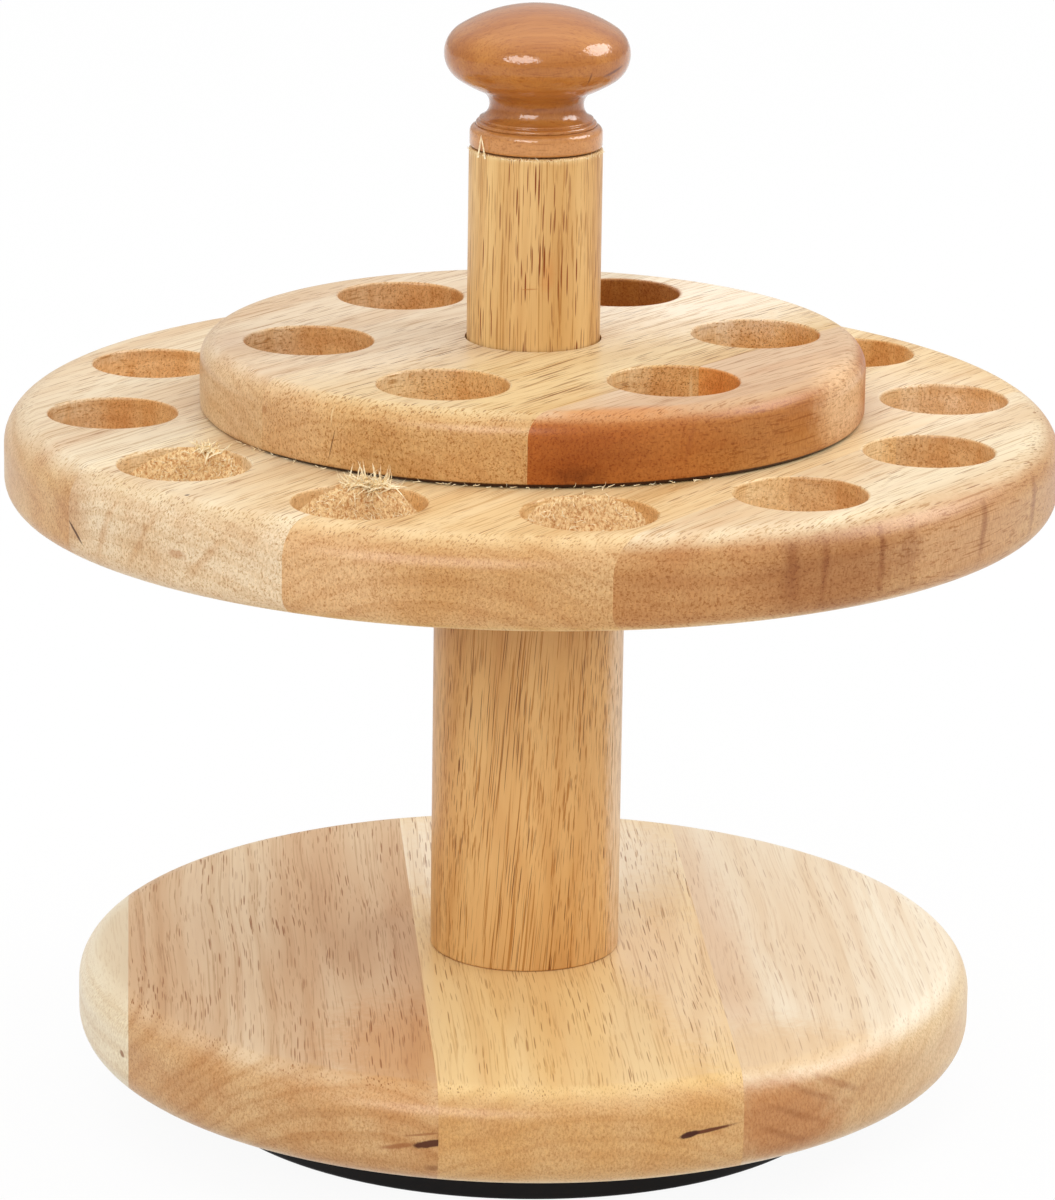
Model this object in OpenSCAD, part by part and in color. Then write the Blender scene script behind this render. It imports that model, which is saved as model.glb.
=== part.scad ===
// Revolving scissors rack: two drilled tiers and a knob on a post, over a base that turns on a ball swivel.
// Millimetres, +Z up. The origin is on the table, on the axis of rotation.

/* [Knob] */
// Widest diameter of the knob's cap
knob_d = 40.2; // [36:0.2:46]
// Height of the oval cap
knob_cap_h = 21; // [18:0.5:25]
// Radius of the cap's outer edge
knob_edge_r = 6.5; // [5:0.1:8]
// Diameter of the neck at its narrowest
knob_neck_d = 20.4; // [16:0.2:22]
// Height from the collar's top to the narrowest part of the neck
knob_neck_h = 3.5; // [3:0.1:5]
// Radius of the hollow between the neck and the cap
knob_cove_r = 3.2; // [2.5:0.1:4]
// Height from the narrowest part of the neck to the cap's lowest level
knob_cap_rise = 0.5; // [0:0.1:1.5]
// Diameter of the collar that sits on the upper post
knob_collar_d = 29; // [27:0.5:32]
// Height of the collar
knob_collar_h = 6; // [5:0.2:8]
// Rounding of the collar's top edge
knob_collar_r = 1.8; // [0.6:0.1:2.2]
// Radius of the bead above the collar
knob_bead_r = 0.7; // [0.4:0.1:0.9]
// Diameter over the bead
knob_bead_d = 24.8; // [23:0.2:25]

/* [Posts] */
// Diameter of the upper post
upper_post_d = 29; // [26:0.5:31]
// Height of the upper post above the upper tier
upper_post_rise = 42; // [30:0.5:80]
// Depth of the socket in the lower post that takes the upper post
socket_depth = 25; // [15:1:40]
// Diameter of the lower post
lower_post_d = 42; // [38:0.5:46]
// Height of the lower post between the base and the lower tier
lower_post_h = 104; // [90:1:160]
// Rounding of the posts' end edges
post_edge_r = 0.5; // [0.2:0.1:1.5]

/* [Upper tier] */
// Diameter of the upper tier
upper_tier_d = 145; // [140:1:152]
// Thickness of the upper tier
upper_tier_t = 15.5; // [13:0.5:24]
// Rounding of the upper tier's top edge
upper_tier_top_r = 5; // [1:0.5:7]
// Rounding of the upper tier's bottom edge
upper_tier_bottom_r = 1.5; // [0.5:0.5:4]
// Direction of the grain in the upper tier, in degrees from +X
upper_tier_grain = 52; // [0:1:180]
// Offset of the upper tier's first glue line from the axis
upper_tier_seam = -17; // [-30:0.5:0]
// Width of the board between the upper tier's glue lines
upper_board_w = 61; // [50:0.5:70]

/* [Lower tier] */
// Diameter of the lower tier
lower_tier_d = 230; // [224:1:280]
// Thickness of the lower tier
lower_tier_t = 19.5; // [16:0.5:30]
// Rounding of the lower tier's top edge
lower_tier_top_r = 7.5; // [1:0.5:9]
// Rounding of the lower tier's bottom edge
lower_tier_bottom_r = 5; // [1:0.5:7]
// Direction of the grain in the lower tier, in degrees from +X
lower_tier_grain = 56; // [0:1:180]
// Offset of the lower tier's first glue line from the axis
lower_tier_seam = -44.5; // [-60:0.5:-36]
// Width of the boards between the lower tier's glue lines
lower_board_w = 61; // [50:0.5:70]

/* [Scissors holes] */
// Diameter of the scissors holes
hole_d = 28; // [20:0.5:30]
// Rounding of the holes' rims
hole_rim_r = 0.6; // [0.3:0.1:1.5]
// Holes in the lower tier's ring
lower_holes = 12; // [6:1:12]
// Holes in the upper tier's ring
upper_holes = 6; // [3:1:6]
// Wood between the lower ring's holes and the rim
lower_margin = 9.5; // [8:0.5:11]
// Wood between the upper ring's holes and the rim
upper_margin = 9.5; // [7:0.5:11]
// Turn of both rings of holes, in degrees from +X
hole_turn = 7.5; // [0:0.5:30]

/* [Base] */
// Diameter of the base
base_d = 199; // [170:1:250]
// Thickness of the base
base_t = 21.5; // [17:0.5:30]
// Rounding of the base's top edge
base_top_r = 7.5; // [1:0.5:8]
// Rounding of the base's bottom edge
base_bottom_r = 8; // [1:0.5:9]
// Direction of the grain in the base, in degrees from +X
base_grain = 94; // [0:1:180]
// Width of the first board of the base
base_edge_w = 11; // [10:0.5:30]
// Width of the boards between the base's glue lines
base_board_w = 64.5; // [50:0.5:68]

/* [Swivel] */
// Diameter of the circle that the balls run on
race_d = 120; // [104:1:150]
// Width of the raised race tracks
race_w = 12; // [9:0.5:14]
// Wall of the foot's skirt
skirt_w = 2.4; // [1.6:0.2:4]
// Gap between the skirt and the base
skirt_gap = 1.2; // [0.6:0.1:2]
// Rounding of the skirt's edges
skirt_r = 0.8; // [0.3:0.1:1.2]
// Thickness of the foot's floor
floor_t = 1.8; // [1.2:0.1:2.2]
// Height of the ribs under the foot's floor
rib_h = 2.4; // [1.6:0.1:4]
// Thickness of the ribs
rib_w = 1.8; // [1.2:0.1:3]
// How far the ribs stay above the foot's lower rim
rib_lift = 0.4; // [0.1:0.1:1]
// Ribs under the foot
rib_count = 8; // [4:4:16]
// Thickness of the foot at its race track
race_t = 2.4; // [2.2:0.1:4]
// Depth of the ball grooves
groove_depth = 1.3; // [0.8:0.1:1.6]
// Diameter of the balls
ball_d = 5; // [4.5:0.1:6]
// Number of balls
ball_count = 16; // [8:1:20]
// Thickness of the ball cage
cage_t = 1.2; // [0.8:0.1:1.6]
// Width of the ball cage
cage_w = 9; // [8:0.5:11]
// Width of the swivel plate's rim outside its race track
plate_rim = 3; // [1:0.5:6]
// Thickness of the swivel plate at its race track
plate_t = 4.4; // [3.6:0.1:6]
// Thickness of the swivel plate's web
plate_web_t = 2.6; // [1.6:0.1:3.2]
// Outer diameter of the plate's hub cup
hub_d = 45; // [38:1:60]
// Wall of the plate's hub cup
hub_w = 2.4; // [1.6:0.1:4]
// Thickness of the hub's floor
hub_t = 2.2; // [1.6:0.1:2.6]
// Diameter of the boss in the middle of the foot
boss_d = 26; // [20:1:32]
// Diameter of the screwdriver holes in the foot
access_d = 11; // [9:0.5:16]

/* [Pivot] */
// Diameter of the rivet's shank
rivet_d = 8; // [6:0.5:10]
// Bore of the hollow rivet
rivet_bore_d = 5; // [2:0.5:5]
// Diameter of the rivet's two heads
rivet_head_d = 14; // [13:0.5:16]
// Thickness of the rivet's heads
rivet_head_t = 1; // [0.6:0.1:1.2]
// Diameter of the thrust washer
washer_d = 17; // [15:0.5:20]
// Thickness of the thrust washer
washer_t = 0.8; // [0.5:0.1:1]

/* [Pads] */
// Diameter of the rubber pads
pad_d = 14; // [10:0.5:15]
// Depth of the pads' pockets
pad_seat = 1; // [0.6:0.1:1.4]
// How far the pads stand out below the foot's rim
pad_proud = 1; // [0.5:0.1:2]
// Wall round each pad's pocket
pad_wall = 1.4; // [1:0.1:1.8]
// Number of pads
pad_count = 4; // [3:1:4]
// Gap between the pads' pockets and the foot's skirt
pad_inset = 1.1; // [0.2:0.1:4]
// Rounding of the pads' lower edge
pad_edge_r = 0.4; // [0.2:0.1:0.8]

/* [Screws] */
// Diameter of the post screw
post_screw_d = 6; // [4:0.5:8]
// Length of the post screw
post_screw_len = 70; // [50:1:75]
// Diameter of the tier screws
tier_screw_d = 4; // [3:0.5:4.5]
// How far the tier screws reach into the upper tier
tier_screw_bite = 10; // [6:0.5:11]
// Number of tier screws
tier_screw_count = 3; // [2:1:3]
// Wood between the lower post and the tier screws' heads
tier_screw_gap = 3.5; // [2:0.5:5]
// Diameter of the plate screws
plate_screw_d = 3.5; // [3:0.5:4.5]
// Length of the plate screws under the head
plate_screw_len = 14; // [10:1:16]
// Number of plate screws
plate_screw_count = 4; // [3:1:4]
// Distance from the race track to the plate screws
plate_screw_inset = 10; // [7:0.5:14]
// Turn of the plate screws and their screwdriver holes, in degrees from +X
plate_screw_turn = 45; // [30:1:60]
// Height of the plate screws' heads
plate_screw_head_h = 2; // [1.2:0.1:2.4]
// Rounding of the plate screws' heads
plate_screw_head_r = 1; // [0.4:0.1:1.2]
// Diameter of the knob's dowel screw
knob_screw_d = 5; // [4:0.5:8]
// Length of the knob's dowel screw
knob_screw_len = 36; // [24:1:40]
// Width of the slots in the screw heads
slot_w = 0.9; // [0.6:0.1:1.1]
// Depth of the slots in the screw heads
slot_depth = 0.9; // [0.5:0.1:1.1]

/* [Clearances] */
// Clearance round the upper post in the tiers
tier_play = 0.4; // [0.1:0.1:0.8]
// Clearance round the upper post in its socket
socket_play = 0.2; // [0.1:0.1:0.5]
// Clearance round the screws in their holes
screw_play = 0.1; // [0.05:0.05:0.3]
// Clearance between the swivel plate and the foot's skirt
plate_play = 1.6; // [0.6:0.1:4]
// Clearance between the balls and their grooves
ball_play = 0.1; // [0.05:0.05:0.2]
// Clearance round the balls in the cage
cage_play = 0.15; // [0.1:0.05:0.3]
// Running clearance of the plate on the rivet
pivot_play = 0.08; // [0.04:0.01:0.1]
// Clearance round the rivet in the foot
rivet_play = 0.05; // [0.02:0.01:0.1]
// Clearance above and below the plate's hub
hub_play = 0.2; // [0.1:0.05:0.4]
// Clearance round the pads in their pockets
pad_play = 0.1; // [0.05:0.05:0.3]

/* [Hidden] */
$fn = 96;

// How far a cut runs past the face that it opens
over = 2;
// Shares that all countersunk and pan heads keep to their shank
head_ratio = 2;
cone_ratio = 0.6;
tip_ratio = 1.5;

upper_staves = 3;
lower_staves = 4;
base_staves = 4;

// Heights, from the table up
rim_z = pad_proud;
floor_z = rim_z + rib_h;
race_low_z = floor_z + race_t;
race_gap = ball_d - 2 * (groove_depth - ball_play);
race_high_z = race_low_z + race_gap;
ball_z = race_low_z + race_gap / 2;
base_z = race_high_z + plate_t;
web_z = base_z - plate_web_t;
lower_post_z = base_z + base_t;
lower_tier_z = lower_post_z + lower_post_h;
upper_tier_z = lower_tier_z + lower_tier_t;
upper_top_z = upper_tier_z + upper_tier_t;
upper_post_z = lower_tier_z - socket_depth;
knob_z = upper_top_z + upper_post_rise;

// The pivot: foot boss, plate hub, washer and rivet head, one above the other
boss_z = floor_z + floor_t + rivet_head_t;
hub_z = boss_z + hub_play;
washer_z = hub_z + hub_t + hub_play / 2;
rivet_head_z = washer_z + washer_t;

tier_screw_len = lower_tier_t + tier_screw_bite;

// Radii of the rings
lower_ring_r = lower_tier_d / 2 - lower_margin - hole_d / 2;
upper_ring_r = upper_tier_d / 2 - upper_margin - hole_d / 2;
tier_screw_ring_r = lower_post_d / 2 + tier_screw_gap + tier_screw_d * head_ratio / 2;
ball_groove_r = ball_d / 2 + ball_play;
race_in_r = race_d / 2 - race_w / 2;
plate_r = race_in_r + race_w + plate_rim;
skirt_in_r = plate_r + plate_play;
foot_r = skirt_in_r + skirt_w;
pad_pocket_r = pad_d / 2 + pad_play;
pad_ring_r = skirt_in_r - pad_inset - pad_wall - pad_pocket_r;
plate_screw_ring_r = race_in_r - plate_screw_inset;

// The knob's cap is an oval of two wide arcs and two small ones that meet smoothly
cap_a = knob_d / 2;
cap_b = knob_cap_h / 2;
cap_edge_x = cap_a - knob_edge_r;
cap_arc_r = (pow(cap_edge_x, 2) + pow(cap_b, 2) - pow(knob_edge_r, 2)) / (2 * (cap_b - knob_edge_r));
cap_meet_x = cap_arc_r * cap_edge_x / (cap_arc_r - knob_edge_r);
neck_z = knob_collar_h + knob_neck_h;
cap_z = neck_z + knob_cap_rise + cap_b;

// Offsets of a disc's glue lines from its axis, with its two rims at the ends
function glue_lines(r, seam, board_w, boards) = [
    -r - over,
    for (k = [0:boards - 2]) seam + k * board_w,
    r + over
];

// What lies outside a rounding of radius r in the first quarter
module corner_waste(r) {
    difference() {
        square(r + over);
        circle(r);
    }
}

// Half section of a disc with rounded rims
module disc_section(r, t, top_r, bottom_r) {
    difference() {
        square([r, t]);
        translate([r - top_r, t - top_r]) corner_waste(top_r);
        translate([r - bottom_r, bottom_r]) mirror([0, 1]) corner_waste(bottom_r);
    }
}

module disc(d, t, top_r, bottom_r) {
    rotate_extrude() disc_section(d / 2, t, top_r, bottom_r);
}

// One board of a disc, between two of its glue lines
module board(i, lines, grain) {
    reach = 2 * lines[len(lines) - 1];
    intersection() {
        children();
        rotate([0, 0, grain - 90])
            translate([lines[i - 1], -reach, 0])
                cube([lines[i] - lines[i - 1], 2 * reach, knob_z]);
    }
}

// Drill for one scissors hole from z0 to z1, which eases the rim at both ends
module hole_drill(z0, z1) {
    r = hole_d / 2;
    rotate_extrude() {
        translate([0, z0 - over]) square([r, z1 - z0 + 2 * over]);
        translate([r + hole_rim_r, z1 - hole_rim_r]) mirror([1, 0]) corner_waste(hole_rim_r);
        translate([r + hole_rim_r, z0 + hole_rim_r]) rotate(180) corner_waste(hole_rim_r);
    }
}

// Copies round the axis
module ring(count, r, turn = 0) {
    for (k = [0:count - 1])
        rotate([0, 0, turn + k * 360 / count])
            translate([r, 0, 0])
                children();
}

module upper_ring_drills() {
    ring(upper_holes, upper_ring_r, hole_turn) hole_drill(lower_tier_z, upper_top_z);
}

module lower_ring_drills() {
    ring(lower_holes, lower_ring_r, hole_turn) hole_drill(lower_tier_z, upper_tier_z);
}

module post_bore(play, z0, z1) {
    translate([0, 0, z0]) cylinder(r = upper_post_d / 2 + play, h = z1 - z0);
}

// Countersunk wood screw with its flat head face at z = 0, grown by play to make its hole
module wood_screw(d, len, play = 0) {
    r = d / 2 + play;
    head_r = d * head_ratio / 2 + play;
    tip_h = d * tip_ratio;
    rotate_extrude()
        polygon([
            [0, 0],
            [head_r, 0],
            [r, d * cone_ratio],
            [r, len + play - tip_h],
            [0, len + play]
        ]);
}

// Two crossed slots in a screw head at z = 0
module drive_slots(d) {
    for (turn = [0, 90])
        rotate([0, 0, turn])
            translate([-d / 2, -slot_w / 2, -over])
                cube([d, slot_w, slot_depth + over]);
}

module slotted_screw(d, len) {
    difference() {
        wood_screw(d, len);
        drive_slots(d);
    }
}

module tier_screw_places() {
    between_holes = hole_turn + 540 / upper_holes;
    ring(tier_screw_count, tier_screw_ring_r, between_holes) translate([0, 0, lower_tier_z]) children();
}

module plate_screw_places() {
    ring(plate_screw_count, plate_screw_ring_r, plate_screw_turn) translate([0, 0, web_z]) children();
}

module tier_screw_holes() {
    tier_screw_places() {
        wood_screw(tier_screw_d, tier_screw_len, screw_play);
        translate([0, 0, -over]) cylinder(r = tier_screw_d * head_ratio / 2 + screw_play, h = over);
    }
}

// Shank of a plate screw from z = 0 up, grown by play to make its hole
module plate_screw_shank(play = 0) {
    r = plate_screw_d / 2 + play;
    tip_h = plate_screw_d * tip_ratio;
    len = plate_screw_len + play;
    rotate_extrude() polygon([[0, 0], [r, 0], [r, len - tip_h], [0, len]]);
}

// Pan-head screw with the underside of its head at z = 0
module pan_screw() {
    head_r = plate_screw_d * head_ratio / 2;
    plate_screw_shank();
    translate([0, 0, -plate_screw_head_h])
        difference() {
            rotate_extrude()
                difference() {
                    square([head_r, plate_screw_head_h]);
                    translate([head_r - plate_screw_head_r, plate_screw_head_r])
                        mirror([0, 1])
                            corner_waste(plate_screw_head_r);
                }
            drive_slots(plate_screw_d);
        }
}

module knob_section() {
    neck_r = knob_neck_d / 2;
    bead_z = knob_collar_h + knob_bead_r;
    disc_section(knob_collar_d / 2, knob_collar_h, knob_collar_r, post_edge_r);
    translate([0, knob_collar_h - over]) square([knob_bead_d / 2 - knob_bead_r, over + 2 * knob_bead_r]);
    translate([knob_bead_d / 2 - knob_bead_r, bead_z]) circle(knob_bead_r);
    difference() {
        translate([0, knob_collar_h]) square([neck_r + knob_cove_r, neck_z - knob_collar_h + knob_cove_r]);
        translate([neck_r + knob_cove_r, neck_z]) circle(knob_cove_r);
        translate([knob_bead_d / 2 - knob_bead_r, 0]) square([knob_d, neck_z]);
    }
    translate([0, cap_z]) cap_section();
}

// Right half of the cap's oval
module cap_section() {
    intersection() {
        translate([0, -cap_b]) square([cap_meet_x, 2 * cap_b]);
        translate([0, cap_b - cap_arc_r]) circle(cap_arc_r);
        translate([0, cap_arc_r - cap_b]) circle(cap_arc_r);
    }
    translate([cap_edge_x, 0]) circle(knob_edge_r);
}

module knob_screw_hole() {
    cylinder(r = knob_screw_d / 2 + screw_play, h = knob_screw_len + 2 * screw_play, center = true);
}

module knob() {
    color("peru")
        translate([0, 0, knob_z])
            difference() {
                rotate_extrude() knob_section();
                knob_screw_hole();
            }
}

module knob_screw() {
    r = knob_screw_d / 2;
    tip_h = knob_screw_d * tip_ratio;
    half = knob_screw_len / 2;
    color("silver")
        translate([0, 0, knob_z])
            rotate_extrude()
                polygon([[0, -half], [r, tip_h - half], [r, half - tip_h], [0, half]]);
}

module upper_post() {
    color("burlywood")
        difference() {
            translate([0, 0, upper_post_z])
                disc(upper_post_d, knob_z - upper_post_z, post_edge_r, post_edge_r);
            translate([0, 0, knob_z]) knob_screw_hole();
        }
}

module upper_tier_blank() {
    difference() {
        translate([0, 0, upper_tier_z])
            disc(upper_tier_d, upper_tier_t, upper_tier_top_r, upper_tier_bottom_r);
        post_bore(tier_play, lower_tier_z, upper_top_z + over);
        upper_ring_drills();
        tier_screw_holes();
    }
}

module upper_tier_stave(i, shade) {
    lines = glue_lines(upper_tier_d / 2, upper_tier_seam, upper_board_w, upper_staves);
    color(shade) board(i, lines, upper_tier_grain) upper_tier_blank();
}

module lower_tier_blank() {
    difference() {
        translate([0, 0, lower_tier_z])
            disc(lower_tier_d, lower_tier_t, lower_tier_top_r, lower_tier_bottom_r);
        post_bore(tier_play, lower_tier_z - over, upper_top_z);
        upper_ring_drills();
        lower_ring_drills();
        tier_screw_holes();
    }
}

module lower_tier_stave(i, shade) {
    lines = glue_lines(lower_tier_d / 2, lower_tier_seam, lower_board_w, lower_staves);
    color(shade) board(i, lines, lower_tier_grain) lower_tier_blank();
}

module tier_screws() {
    color("silver") tier_screw_places() slotted_screw(tier_screw_d, tier_screw_len);
}

module lower_post() {
    color("burlywood")
        difference() {
            translate([0, 0, lower_post_z]) disc(lower_post_d, lower_post_h, post_edge_r, post_edge_r);
            post_bore(socket_play, upper_post_z, lower_tier_z + over);
            translate([0, 0, base_z]) wood_screw(post_screw_d, post_screw_len, screw_play);
        }
}

module post_screw() {
    color("silver") translate([0, 0, base_z]) slotted_screw(post_screw_d, post_screw_len);
}

module base_blank() {
    difference() {
        translate([0, 0, base_z]) disc(base_d, base_t, base_top_r, base_bottom_r);
        translate([0, 0, base_z]) wood_screw(post_screw_d, post_screw_len, screw_play);
        plate_screw_places() plate_screw_shank(screw_play);
    }
}

module base_stave(i, shade) {
    r = base_d / 2;
    lines = glue_lines(r, base_edge_w - r, base_board_w, base_staves);
    color(shade) board(i, lines, base_grain) base_blank();
}

// Half section of both race tracks' ball groove
module groove_section() {
    translate([race_d / 2, ball_z]) circle(ball_groove_r);
}

module race_section(z0, z1) {
    translate([race_in_r, z0]) square([race_w, z1 - z0]);
}

module swivel_plate() {
    hub_r = hub_d / 2;
    color("dimgray")
        difference() {
            rotate_extrude()
                difference() {
                    union() {
                        translate([hub_r - hub_w, web_z]) square([plate_r - hub_r + hub_w, plate_web_t]);
                        race_section(race_high_z, base_z);
                        translate([hub_r - hub_w, hub_z]) square([hub_w, base_z - hub_z]);
                        translate([rivet_d / 2 + pivot_play, hub_z])
                            square([hub_r - rivet_d / 2 - pivot_play, hub_t]);
                    }
                    groove_section();
                }
            plate_screw_places()
                translate([0, 0, -over])
                    cylinder(r = plate_screw_d / 2 + screw_play, h = plate_web_t + 2 * over);
        }
}

module plate_screws() {
    color("silver") plate_screw_places() pan_screw();
}

module ball_cage() {
    color("ivory")
        difference() {
            translate([0, 0, ball_z - cage_t / 2])
                rotate_extrude()
                    translate([race_d / 2 - cage_w / 2, 0])
                        square([cage_w, cage_t]);
            ring(ball_count, race_d / 2)
                translate([0, 0, ball_z])
                    cylinder(r = ball_d / 2 + cage_play, h = cage_t + 2 * over, center = true);
        }
}

module bearing_balls() {
    color("silver") ring(ball_count, race_d / 2) translate([0, 0, ball_z]) sphere(d = ball_d);
}

// Hollow rivet: lower head under the foot's floor, upper head on the washer
module pivot_rivet() {
    bore_r = rivet_bore_d / 2;
    shank_r = rivet_d / 2;
    head_r = rivet_head_d / 2;
    low_z = floor_z - rivet_head_t;
    color("silver")
        rotate_extrude() {
            translate([bore_r, low_z]) square([head_r - bore_r, rivet_head_t]);
            translate([bore_r, low_z]) square([shank_r - bore_r, rivet_head_z + rivet_head_t - low_z]);
            translate([bore_r, rivet_head_z]) square([head_r - bore_r, rivet_head_t]);
        }
}

module thrust_washer() {
    bore_r = rivet_d / 2 + pivot_play;
    color("white")
        rotate_extrude()
            translate([bore_r, washer_z])
                square([washer_d / 2 - bore_r, washer_t]);
}

module foot_section() {
    skirt_h = base_z - skirt_gap - rim_z;
    rib_z = rim_z + rib_lift;
    difference() {
        union() {
            translate([0, floor_z]) square([skirt_in_r + skirt_w / 2, floor_t]);
            race_section(floor_z, race_low_z);
            translate([0, floor_z]) square([boss_d / 2, boss_z - floor_z]);
            translate([skirt_in_r, rim_z]) square([skirt_w, skirt_h]);
            translate([boss_d / 2 - rib_w, rib_z]) square([rib_w, floor_z - rib_z]);
            translate([race_in_r, rib_z]) square([rib_w, floor_z - rib_z]);
        }
        groove_section();
        square([rivet_d / 2 + rivet_play, base_z]);
        translate([foot_r - skirt_r, rim_z + skirt_r]) mirror([0, 1]) corner_waste(skirt_r);
        translate([foot_r - skirt_r, rim_z + skirt_h - skirt_r]) corner_waste(skirt_r);
    }
}

module foot_ribs() {
    start = boss_d / 2 - rib_w / 2;
    ring(rib_count, start, 180 / rib_count)
        translate([0, -rib_w / 2, rim_z + rib_lift])
            cube([skirt_in_r + skirt_w / 2 - start, rib_w, rib_h - rib_lift]);
}

module pad_places() {
    ring(pad_count, pad_ring_r) children();
}

module swivel_foot() {
    color("#1c1717")
        difference() {
            union() {
                rotate_extrude() foot_section();
                foot_ribs();
                pad_places()
                    translate([0, 0, rim_z])
                        cylinder(r = pad_pocket_r + pad_wall, h = rib_h + floor_t / 2);
            }
            pad_places() translate([0, 0, rim_z - over]) cylinder(r = pad_pocket_r, h = pad_seat + over);
            plate_screw_places() translate([0, 0, -web_z]) cylinder(d = access_d, h = race_low_z + over);
        }
}

module foot_pads() {
    color("dimgray") pad_places() disc(pad_d, pad_proud + pad_seat, pad_edge_r, pad_edge_r);
}

knob();
knob_screw();
upper_post();
upper_tier_stave(1, "burlywood");  // upper_tier_stave_1
upper_tier_stave(2, "wheat");  // upper_tier_stave_2
upper_tier_stave(3, "peru");  // upper_tier_stave_3
lower_tier_stave(1, "wheat");  // lower_tier_stave_1
lower_tier_stave(2, "burlywood");  // lower_tier_stave_2
lower_tier_stave(3, "tan");  // lower_tier_stave_3
lower_tier_stave(4, "burlywood");  // lower_tier_stave_4
tier_screws();
lower_post();
post_screw();
base_stave(1, "wheat");  // base_stave_1
base_stave(2, "tan");  // base_stave_2
base_stave(3, "burlywood");  // base_stave_3
base_stave(4, "wheat");  // base_stave_4
swivel_plate();
plate_screws();
ball_cage();
bearing_balls();
pivot_rivet();
thrust_washer();
swivel_foot();
foot_pads();
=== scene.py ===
"""Looks of a revolving wooden scissors rack: staved discs on turned posts over a black swivel."""

import logging
import math
import random
from dataclasses import dataclass, field
from enum import Enum

import bpy
from mathutils import Matrix, Vector


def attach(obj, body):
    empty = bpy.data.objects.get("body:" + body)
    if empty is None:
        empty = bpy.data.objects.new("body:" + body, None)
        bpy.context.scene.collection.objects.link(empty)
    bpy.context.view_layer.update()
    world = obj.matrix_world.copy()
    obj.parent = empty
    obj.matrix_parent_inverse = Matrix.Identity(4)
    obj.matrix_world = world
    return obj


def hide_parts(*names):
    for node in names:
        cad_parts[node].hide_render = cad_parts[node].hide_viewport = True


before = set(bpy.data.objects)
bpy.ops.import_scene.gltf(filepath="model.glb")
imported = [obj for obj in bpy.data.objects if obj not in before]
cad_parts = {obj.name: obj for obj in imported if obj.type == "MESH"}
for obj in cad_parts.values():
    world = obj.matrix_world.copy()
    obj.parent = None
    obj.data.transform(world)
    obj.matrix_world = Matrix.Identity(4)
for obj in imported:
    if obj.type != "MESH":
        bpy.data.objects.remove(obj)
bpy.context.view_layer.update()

LOG = logging.getLogger("scissors_rack")

MM = 0.001
UPPER_TIER_R = 72.5
LOWER_TIER_R = 115.0
BASE_R = 99.5
LOWER_TIER_TOP = 157.8
UPPER_TIER_FOOT = 158.1
POST_R = 14.5
POST_TOP = 214.8

# tints that a layer of the wood multiplies the colour by
RING_TINT = (0.8, 0.66, 0.5)
LINE_TINT = (0.66, 0.5, 0.32)
DRILLED_TINT = (0.86, 0.7, 0.5)
SPECK_TINT = (0.7, 0.52, 0.34)
GLINT_TINT = (1.22, 1.22, 1.2)
TORN_TINT = (0.72, 0.56, 0.4)
BARE_WOOD_SHINE = 0.08

# how much weaker the pores are on rims and on the walls of holes
RIM_PORES_LESS = 0.7
WALL_PORES_LESS = 0.4

# share of a pore that is fully dark, and how much rougher it is than the lacquer
PORE_CORE = 0.68
PORE_ROUGHER = 0.25

# depth of the pores and of the lacquer's waves, mm, and of the fibre lines as a share of the pores
PORE_MM = 0.2
PEEL_MM = 0.1
LINE_RELIEF = 0.35

# how far a seed shifts the warp along X, Y and Z, mm, and a seed and a layer shift a pattern
WARP_SHIFT = (13.7, 7.3, 3.1)
SEED_SHIFT = 17.0
LAYER_SHIFT = 5.3

# how far the fibres wander to the sides, mm
WARP_MM = 6.0

# patterns per mm along the grain and across it, or along X, Y and Z
WARP_SCALE = (0.009, 0.03, 0.03)
BAND_ALONG = 0.0045
BLUSH_SCALE = (0.007, 0.1, 0.1)
LINE_SCALE = (0.02, 2.4, 2.4)
THINNING_SCALE = (0.02, 0.14, 0.14)
PATCH_SCALE = (0.16, 0.16, 0.04)
SPECK_SCALE = (2.2, 2.2, 1.1)
RAGGED_SCALE = (0.45, 0.45, 0.45)
PEEL_SCALE = (1.3, 1.3, 1.3)

# half width of the edge between pale and deep bands, in their noise
BAND_BLUR = 0.2

# where a pattern starts and ends in its noise, or a face counts as upright or as end grain
BLUSH_EDGE = (0.48, 0.68)
RING_EDGE = (0.42, 0.68)
LINE_EDGE = (0.54, 0.63)
THINNING_EDGE = (0.32, 0.6)
PATCH_EDGE = (0.42, 0.62)
SPECK_EDGE = (0.5, 0.64)
GLINT_EDGE = (0.48, 0.34)
UPRIGHT_EDGE = (0.55, 0.96)
END_EDGE = (0.15, 0.95)

# how far inside a disc's radius its rim starts and is all rim, mm
RIM_BAND_MM = (8.0, 4.0)

Colour = tuple[float, float, float]
Point = tuple[float, float, float]
Flat = tuple[float, float]
Socket = bpy.types.NodeSocket
Value = Socket | float


def srgb(red: int, green: int, blue: int) -> Colour:
    """Linear colour of a screen colour.

    Args:
        red: Red level, 0 to 255.
        green: Green level, 0 to 255.
        blue: Blue level, 0 to 255.

    Returns:
        The colour as linear numbers from 0 to 1.
    """
    def level(value: int) -> float:
        """Linear level of one channel."""
        share = value / 255
        return share / 12.92 if share <= 0.04045 else ((share + 0.055) / 1.055) ** 2.4

    return level(red), level(green), level(blue)


class Grain(Enum):
    """Which way the fibres of a piece of wood run."""

    FLAT = "in the plane of a disc"
    UPRIGHT = "along a post"


class Layer(Enum):
    """Patterns in the wood, each shifted by its own number."""

    BANDS = 1.0
    BLUSH = 2.0
    LINES = 3.0
    PORES = 4.0
    SMALL_PORES = 5.0
    FINE_PORES = 6.0
    THINNING = 7.0


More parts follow.
